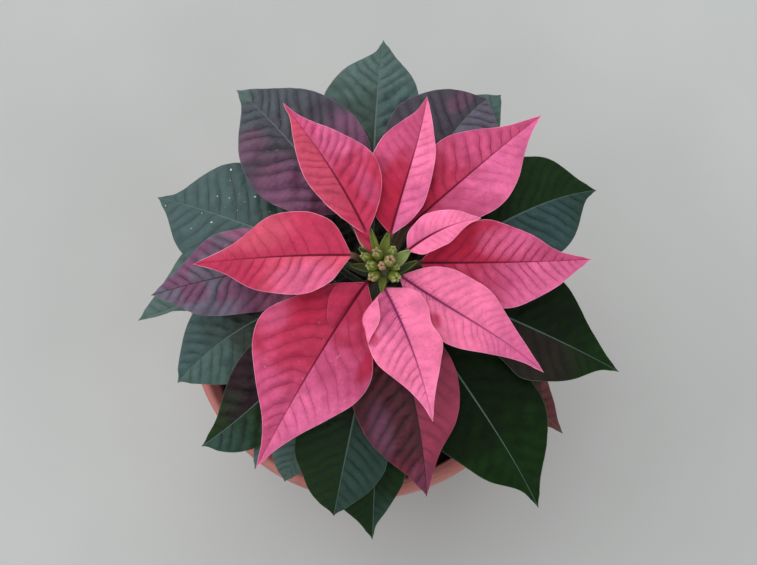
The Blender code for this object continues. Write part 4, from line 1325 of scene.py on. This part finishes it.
def stem_material():
    """Green bark with lengthwise streaks, brown and corky towards the soil."""
    nodes = Nodes("stem bark")
    streaks = nodes.noise(2.0, 3.0, stretch=(1.0, 1.0, 0.12))
    height = nodes.add("SeparateXYZ", {0: nodes.place})[2]
    woody = nodes.ramp(streaks * 0.05 + height, 0.235, 0.165)
    tone = nodes.mix(nodes.ramp(streaks, 0.35, 0.65), "stalk_green", "stalk_olive")
    tone = nodes.mix(woody, tone, "bark")
    nodes.bump(nodes.noise(0.6, 3.0) * 0.1 + streaks * 0.3)
    return nodes.finish(tone, nodes.ramp(streaks, 0.3, 0.7, 0.5, 0.7), 0.35)


def cup_form(x, y, height, size, brown, seed):
    """One cup: a turned profile with five lobes at the mouth, leaning from the axis.

    Its radius swells by a cosine of five turns that grows towards the mouth, with a
    little random unevenness, and its mouth is a hollow between the lobes. Its marks are
    the share of its height, how brown its tips are and the cosine of the lobes.
    """
    profile = rounded(CUP_PROFILE, 0.8, 4)
    steps = np.linspace(0, len(profile) - 1, CUP_RINGS)
    columns = [np.interp(steps, range(len(profile)), profile[:, axis]) for axis in (0, 1)]
    profile = np.stack(columns, -1)
    rings = spun(profile, CUP_SIDES)
    turn = np.linspace(0, 2 * np.pi, CUP_SIDES, endpoint=False) + seed
    top = step(profile[:, 1], 2.5, 5.6)[:, None]
    lobes = np.cos(CUP_LOBES * turn) + 0.5 * np.cos(2 * turn + seed)
    rings[..., :2] *= (1 + LOBE_SWELL * lobes * top)[..., None]
    off_axis = np.hypot(rings[..., 0], rings[..., 1])
    mouth = np.exp(-((off_axis / MOUTH_RADIUS) ** 2)) * (rings[..., 2] > MOUTH_FROM)
    rings[..., 2] -= MOUTH_DEPTH * mouth
    rings[..., 2] += LOBE_LIFT * lobes * top
    uneven = CUP_UNEVEN * drift(rings, CUP_UNEVEN_SIZE, int(seed * 10))
    rings += uneven[..., None] * unit(rings - [0, 0, 1.5])
    rings *= size
    above = rings[..., 2] - CUP_MIDDLE * size
    lean = CUP_LEAN / (CUP_LIP - CUP_FOOT) / size
    share = np.clip((rings[..., 2] / size - CUP_FOOT) / (CUP_LIP - CUP_FOOT), 0, 1)
    rings[..., 0] += above * lean * x + x
    rings[..., 1] += above * lean * y + y
    rings[..., 2] += height
    rings[..., :2] += STEM_LEAN
    marks = np.stack([share, 0 * share + brown, lobes * top], -1)
    points, faces = closed_tube(rings)
    return points, faces, np.concatenate([marks.reshape(-1, 3), marks[0, :1], marks[-1, :1]])


def bractlet_sheet(root, tip, half_width):
    """A small pointed blade beside the cups, cupped across and arched along."""
    rows, columns = BRACTLET_GRID
    share, across = np.meshgrid(np.linspace(0, 1, rows), np.linspace(-1, 1, columns), indexing="ij")
    start, end = (np.array(point, float) + [*STEM_LEAN, 0] for point in (root, tip))
    side = unit(np.cross(end - start, UP))
    width = half_width * np.interp(share, BRACTLET_SHARES, BRACTLET_WIDTHS)
    upper = start + (end - start) * share[..., None] + side * (width * across)[..., None]
    lift = BRACTLET_CUPPING * half_width * across**2 + BRACTLET_ARCH * share * (1 - share)
    upper[..., 2] += lift - BRACTLET_GROOVE * np.exp(-((across / 0.18) ** 2)) * (1 - share)
    lower = upper - surface_normals(upper) * BRACTLET_THICK
    place = np.stack([width * across, share, width * (1 - np.abs(across))], -1)
    number = share * BRACTLET_VEINS
    return upper, lower, place, np.stack([number, number, 0 * number + 0.5], -1)


def head_material():
    """Cups: olive green, with painted shade at the foot and in the clefts of the mouth,
    paler at the lobes, some with brown-pink tips.
    """
    nodes = Nodes("flower cups")
    share, brown, lobes = nodes.attribute("cup_place")
    mottle = nodes.noise(1.3, 3.0)
    wander = mottle * 0.36 + share - 0.18
    tone = nodes.mix(nodes.ramp(wander, 0.35, 0.62), "cup_shade", "cup_green")
    tone = nodes.mix(nodes.ramp(lobes * 0.08 + wander, 0.84, 1.1), tone, "cup_pale")
    burnt = nodes.ramp(brown * 0.25 + mottle * 0.3 + share, 1.12, 1.34)
    tone = nodes.mix(burnt * brown, tone, "cup_tip")
    clefts = nodes.ramp(lobes, -0.3, -1.0) * nodes.ramp(share, 0.8, 0.95, 0.0, 0.4)
    tone = nodes.mix(clefts, tone, "cup_shade")
    nodes.bump(nodes.noise(0.5) * 0.06 + mottle * 0.2)
    return nodes.finish(tone, nodes.ramp(mottle, 0.3, 0.7, 0.34, 0.5), 0.45)


def colour_value(name, description, value):
    """A colour that a user may change, in linear red, green and blue."""
    return FloatVectorProperty(
        name=name, description=description, subtype="COLOR", size=3, min=0.0, max=1.0, default=value
    )


class PoinsettiaColours(bpy.types.PropertyGroup):
    """The colours that the looks name."""

    # From blush to crimson the bract colours are partly the bracts' own and partly painted
    # darker ones in shade.
    # light and shade: the paler ones stand where the window's light and sheen fall, the
    blush: colour_value("Blush", "Lightest bracts", (0.9, 0.21, 0.395))
    pink: colour_value("Pink", "Light bracts", (0.83, 0.175, 0.335))
    half_lit_pink: colour_value("Half-lit pink", "Bracts in half light", (0.66, 0.125, 0.275))
    rose: colour_value("Rose", "Cool part of the darker bracts", (0.48, 0.068, 0.165))
    salmon: colour_value("Salmon", "Warm light part of the left bract", (0.56, 0.07, 0.125))
    coral: colour_value("Coral", "Warm part of the left bracts", (0.45, 0.052, 0.1))
    cherry: colour_value("Cherry", "Warm part of the darker bracts", (0.43, 0.028, 0.075))
    # Crimson is partly the bracts' own deep red and partly painted shade, at their feet and
    # under their neighbours, reddened as by light through the bract above.
    crimson: colour_value("Crimson", "Foot of the bracts", (0.4, 0.013, 0.045))
    orchid: colour_value("Orchid", "Pinkest part of the turning leaves", (0.26, 0.07, 0.14))
    violet: colour_value("Violet", "Purple part of the turning leaves", (0.135, 0.044, 0.096))
    plum: colour_value("Plum", "Foot of the turning leaves", (0.115, 0.024, 0.06))
    mauve: colour_value("Mauve", "Tips of the left turning leaf", (0.1, 0.085, 0.12))
    slate: colour_value("Slate", "Dark part of the turning leaves", (0.045, 0.036, 0.05))
    sage: colour_value("Sage", "Tips of the turning leaves", (0.05, 0.058, 0.07))
    maroon: colour_value("Maroon", "Red half of the lower turning leaf", (0.27, 0.028, 0.066))
    burgundy: colour_value("Burgundy", "Foot of the lower turning leaf", (0.135, 0.01, 0.022))
    wine: colour_value("Wine", "Dark half of the lower turning leaf", (0.062, 0.007, 0.015))
    aubergine: colour_value("Aubergine", "Darkest turning leaf", (0.02, 0.0085, 0.012))
    # Sea green and teal are partly the leaves' own colour and partly the window's sheen
    # painted on the leaves turned to it; moss and deep green paint half light and shade.
    sea: colour_value("Sea green", "Palest green leaves", (0.055, 0.1, 0.088))
    teal: colour_value("Teal", "Green leaves towards the window", (0.034, 0.07, 0.068))
    moss: colour_value("Moss", "Green leaves in half light", (0.024, 0.052, 0.04))
    green: colour_value("Green", "Green leaves", (0.0075, 0.0245, 0.005))
    deep_green: colour_value("Deep green", "Green leaves in the shade", (0.0055, 0.0125, 0.0035))
    bronze: colour_value("Bronze", "Reddish part of a dark leaf", (0.022, 0.017, 0.014))
    brick: colour_value("Brick", "Tip of the maroon leaf", (0.13, 0.035, 0.037))
    bract_rib: colour_value("Bract midribs", "Midribs of the bracts", (0.12, 0.004, 0.018))
    bract_vein: colour_value("Bract veins", "Veins of the bracts", (0.27, 0.01, 0.045))
    navy_vein: colour_value("Dark bract veins", "Veins of the lower bracts", (0.2, 0.02, 0.09))
    slate_vein: colour_value("Turning veins", "Veins of the turning leaves", (0.014, 0.008, 0.014))
    pale_vein: colour_value("Pale midribs", "Midribs of the green leaves", (0.09, 0.14, 0.11))
    deep_vein: colour_value("Deep veins", "Side veins of the green leaves", (0.008, 0.017, 0.014))
    # These margin colours are partly the edges' own paler colour and partly a painted
    # highlight where the rim catches the light; on the backs they are the leaves' own.
    bract_margin: colour_value("Bract margins", "Edges and backs of the bracts", (0.9, 0.38, 0.52))
    grey_margin: colour_value("Turning margins", "Margins of the turning leaves", (0.2, 0.14, 0.18))
    wine_margin: colour_value("Wine margins", "Margins of the lower turning leaf", (0.3, 0.1, 0.14))
    green_margin: colour_value(
        "Green margins", "Edges and backs of the green leaves", (0.1, 0.15, 0.1))
    dust: colour_value("Specks", "Specks of dust on some leaves", (0.6, 0.57, 0.53))
    stalk_olive: colour_value("Bract stalks", "Stalks of the bracts", (0.06, 0.058, 0.028))
    stalk_green: colour_value("Leaf stalks", "Stalks of the leaves", (0.06, 0.085, 0.045))
    bark: colour_value("Bark", "Foot of the stem", (0.1, 0.07, 0.045))
    cup_green: colour_value("Cups", "Cups of the flower head", (0.115, 0.14, 0.015))
    cup_shade: colour_value("Cup shade", "Foot and clefts of the cups", (0.03, 0.032, 0.008))
    cup_pale: colour_value("Cup lips", "Lips of the cups", (0.25, 0.28, 0.085))
    cup_tip: colour_value("Cup tips", "Brown tips of the cups' lobes", (0.36, 0.19, 0.12))
    bractlet: colour_value("Bractlets", "Narrow leaves beside the cups", (0.12, 0.145, 0.028))
    bractlet_pale: colour_value("Pale bractlets", "Lightest of them", (0.23, 0.29, 0.1))
    # Dark bractlets: painted shade under the cups, where the lowest bractlets lie.
    bractlet_dark: colour_value("Dark bractlets", "Lowest of them", (0.035, 0.045, 0.015))
    pot: colour_value("Pot", "Pot", (0.45, 0.155, 0.135))
    pot_dark: colour_value("Pot clouds", "Darker clouds on the pot", (0.37, 0.115, 0.1))
    pot_dust: colour_value("Pot dust", "Dust on the pot", (0.5, 0.3, 0.26))
    # The soil colours are darker than the soil's own, painted shade of the leaves over it,
    # and the dark soil paints the shade in the hollows of its relief.
    soil: colour_value("Soil", "Crumbs of the soil", (0.008, 0.0055, 0.004))
    soil_dark: colour_value("Dark soil", "Hollows of the soil", (0.0025, 0.002, 0.0016))
    soil_fibre: colour_value("Soil fibres", "Fibres in the soil", (0.022, 0.015, 0.009))
    floor: colour_value("Floor", "Floor", (0.42, 0.43, 0.415))


def length_value(name, description, value):
    """A length given here in millimetres, which Blender keeps in metres."""
    return FloatProperty(
        name=name, description=description, default=value * MM, min=0.0, precision=5, unit="LENGTH"
    )


def strength_value(name, description, value):
    """How strong a light is."""
    return FloatProperty(name=name, description=description, default=value, min=0.0, max=100.0)


def count_value(name, description, value):
    """How many columns, rows or sides a surface has."""
    return IntProperty(name=name, description=description, default=value, min=8, max=400)


class PoinsettiaSizes(bpy.types.PropertyGroup):
    """Counts of rows and sides, widths of the markings, and strengths of the lights."""

    blade_columns: count_value("Blade columns", "Columns on each half of a blade", 22)
    blade_rows: count_value("Blade rows", "Rows along each blade", 108)
    pot_sides: count_value("Pot sides", "Sides round the pot", 160)
    soil_sides: count_value("Soil sides", "Sides round the soil", 240)
    vein_width: length_value("Side veins", "Half width of a side vein", 0.24)
    midrib_width: length_value("Midrib", "Width of the midrib at its foot", 1.05)
    margin_width: length_value("Margin", "Width of the pale margin", 0.38)
    net_size: length_value("Net", "Size of the net's meshes", 2.2)
    floor_reach: length_value("Floor", "Half width of the floor", 6000.0)
    window_strength: strength_value("Window", "Strength of the window's light", 2.55)
    fill_strength: strength_value("Fill", "Strength of the weak light from the other side", 0.5)
    room_strength: strength_value("Room", "Strength of the light all round", 0.61)


def settings():
    return bpy.context.scene.poinsettia_sizes, bpy.context.scene.poinsettia_colours


def build_leaves(leaves, looks, slot):
    for leaf in leaves:
        look = looks[leaf.name]
        sheet_piece(leaf.name + "_fine", blade_sheet(leaf, look), look, slot, leaf.name)


class POINSETTIA_OT_bracts(bpy.types.Operator):
    """Builds the ten pink bracts, with the folded parts of two of them"""

    bl_idname = "poinsettia.bracts"
    bl_label = "Bracts"

    def execute(self, context):
        build_leaves(BRACTS, BRACT_LOOKS, "bract")
        bracts = {leaf.name: leaf for leaf in BRACTS}
        for fold in FOLDS:
            look = FOLD_LOOKS[fold.leaf]
            sheet = fold_sheet(fold, bracts[fold.leaf], look)
            sheet_piece(fold.leaf + "_fold", sheet, look, "bract", fold.leaf)
        return {"FINISHED"}


class POINSETTIA_OT_turning_leaves(bpy.types.Operator):
    """Builds the five leaves that are turning colour"""

    bl_idname = "poinsettia.turning_leaves"
    bl_label = "Turning leaves"

    def execute(self, context):
        build_leaves(TURNING_LEAVES, TURNING_LOOKS, "leaf_turning")
        return {"FINISHED"}


class POINSETTIA_OT_green_leaves(bpy.types.Operator):
    """Builds the green leaves and the maroon one among them"""

    bl_idname = "poinsettia.green_leaves"
    bl_label = "Green leaves"

    def execute(self, context):
        build_leaves(GREEN_LEAVES[:-1], GREEN_LOOKS, "leaf_green")
        build_leaves(GREEN_LEAVES[-1:], GREEN_LOOKS, "leaf_turning")
        return {"FINISHED"}


class POINSETTIA_OT_flower_head(bpy.types.Operator):
    """Builds the cups, the dome under them and the bractlets beside them"""

    bl_idname = "poinsettia.flower_head"
    bl_label = "Flower head"

    def execute(self, context):
        dome = closed_tube(spun(rounded(DOME_PROFILE, 0.9), DOME_SIDES) + [*STEM_LEAN, STEM_HEAD])
        forms = [dome]
        # The dome takes the cups' dark foot colour: painted shade among the cups.
        marks = [np.full((len(dome[0]), 3), (0.2, 0.0, 0.0))]
        for index, values in enumerate(CUPS):
            *form, cup_marks = cup_form(*values, seed=0.7 * index + 0.4)
            forms.append(form)
            marks.append(cup_marks)
        cups = new_piece("flower_cups", *joined(forms), [("cup_place", np.concatenate(marks))])
        finish_piece(cups, head_material(), "flower_head", "flower_head")
        for index, (root, tip, half_width, paint) in enumerate(BRACTLETS):
            look = Look(
                (paint,) * 3, (paint,) * 3, midrib=paint, vein="cup_shade", stalk=paint,
                margin="cup_pale" if paint == "bractlet_pale" else "bractlet",
                vein_share=(0.1, 0.1), gloss=0.12, crumple=0.15)
            sheet = bractlet_sheet(root, tip, half_width)
            name = f"bractlet_{index + 1}"
            sheet_piece(name, sheet, look, "flower_head", "flower_head", under=1)
        return {"FINISHED"}


class POINSETTIA_OT_stem(bpy.types.Operator):
    """Builds the stem with a swelling under each stalk"""

    bl_idname = "poinsettia.stem"
    bl_label = "Stem"

    def execute(self, context):
        rings = stem_rings([*BRACTS, *TURNING_LEAVES, *GREEN_LEAVES])
        piece = new_piece("stem_fine", *closed_tube(rings), sharp=STEM_SHARP)
        finish_piece(piece, stem_material(), "stem", "stem")
        return {"FINISHED"}


class POINSETTIA_OT_pot(bpy.types.Operator):
    """Builds the pot with its rolled rim and drain holes"""

    bl_idname = "poinsettia.pot"
    bl_label = "Pot"

    def execute(self, context):
        rings = spun(pot_profile(), settings()[0].pot_sides)
        piece = new_piece("pot_fine", *closed_tube(rings))
        drained(piece)
        finish_piece(piece, pot_material(), "pot", "pot")
        return {"FINISHED"}


class POINSETTIA_OT_soil(bpy.types.Operator):
    """Builds the soil"""

    bl_idname = "poinsettia.soil"
    bl_label = "Soil"

    def execute(self, context):
        rings = soil_rings(settings()[0].soil_sides)
        piece = new_piece("soil_fine", *closed_tube(rings), sharp=SOIL_SHARP)
        finish_piece(piece, soil_material(), "soil", "soil")
        return {"FINISHED"}


def sun(name, towards, strength, tint):
    """A distant light that shines along this direction from a wide soft disc."""
    light = bpy.data.lights.new(name, "SUN")
    light.energy = strength
    light.angle = np.radians(WINDOW_SPREAD)
    light.color = tint
    linked(name, light).rotation_euler = Vector(towards).to_track_quat("-Z", "Y").to_euler()


class POINSETTIA_OT_stage(bpy.types.Operator):
    """Builds the floor, the lights and the camera"""

    bl_idname = "poinsettia.stage"
    bl_label = "Stage"

    def execute(self, context):
        sizes, colours = settings()
        reach = sizes.floor_reach / MM
        corners = np.array([(-1, -1, 0), (1, -1, 0), (1, 1, 0), (-1, 1, 0)]) * reach
        floor = new_piece("floor", corners, [(0, 1, 2, 3)])
        nodes = Nodes("plain floor")
        faint = tuple(0.94 * part for part in colours.floor)
        tone = nodes.mix(nodes.ramp(nodes.noise(160.0), 0.3, 0.7), "floor", faint)
        rough = nodes.ramp(nodes.noise(60.0), 0.3, 0.7, 0.7, 0.85)
        floor.data.materials.append(nodes.finish(tone, rough))
        sun("window", WINDOW_TOWARDS, sizes.window_strength, WINDOW_TINT)
        sun("fill", FILL_TOWARDS, sizes.fill_strength, FILL_TINT)
        world = bpy.data.worlds.new("room")
        world.use_nodes = True
        background = world.node_tree.nodes["Background"]
        background.inputs["Color"].default_value = ROOM_TINT
        background.inputs["Strength"].default_value = sizes.room_strength
        context.scene.world = world
        context.scene.view_settings.view_transform = "Standard"
        lens = bpy.data.cameras.new("camera")
        lens.sensor_width = SENSOR_WIDTH
        lens.lens = LENS
        lens.clip_start = 0.01
        camera = linked("camera", lens)
        camera.location = Vector(CAMERA_PLACE) * MM
        camera.rotation_euler = (np.radians(CAMERA_TILT), 0.0, 0.0)
        context.scene.camera = camera
        return {"FINISHED"}


OPERATORS = (
    POINSETTIA_OT_stage, POINSETTIA_OT_pot, POINSETTIA_OT_soil, POINSETTIA_OT_stem,
    POINSETTIA_OT_green_leaves, POINSETTIA_OT_turning_leaves, POINSETTIA_OT_bracts,
    POINSETTIA_OT_flower_head,
)


class POINSETTIA_PT_build(bpy.types.Panel):
    """Lists the pieces to build"""

    bl_idname = "POINSETTIA_PT_build"
    bl_label = "Potted poinsettia"
    bl_space_type = "VIEW_3D"
    bl_region_type = "UI"
    bl_category = "Poinsettia"

    def draw(self, context):
        for operator in OPERATORS:
            self.layout.operator(operator.bl_idname)
        for group in (context.scene.poinsettia_sizes, context.scene.poinsettia_colours):
            for name in group.__annotations__:
                self.layout.prop(group, name)


CLASSES = (PoinsettiaColours, PoinsettiaSizes, *OPERATORS, POINSETTIA_PT_build)


def register():
    for item in CLASSES:
        bpy.utils.register_class(item)
    bpy.types.Scene.poinsettia_sizes = PointerProperty(type=PoinsettiaSizes)
    bpy.types.Scene.poinsettia_colours = PointerProperty(type=PoinsettiaColours)


def unregister():
    del bpy.types.Scene.poinsettia_colours
    del bpy.types.Scene.poinsettia_sizes
    for item in reversed(CLASSES):
        bpy.utils.unregister_class(item)


def main():
    register()
    for build in (
        bpy.ops.poinsettia.stage, bpy.ops.poinsettia.pot, bpy.ops.poinsettia.soil,
        bpy.ops.poinsettia.stem, bpy.ops.poinsettia.green_leaves,
        bpy.ops.poinsettia.turning_leaves, bpy.ops.poinsettia.bracts,
        bpy.ops.poinsettia.flower_head,
    ):
        build()


if __name__ == "__main__":
    main()
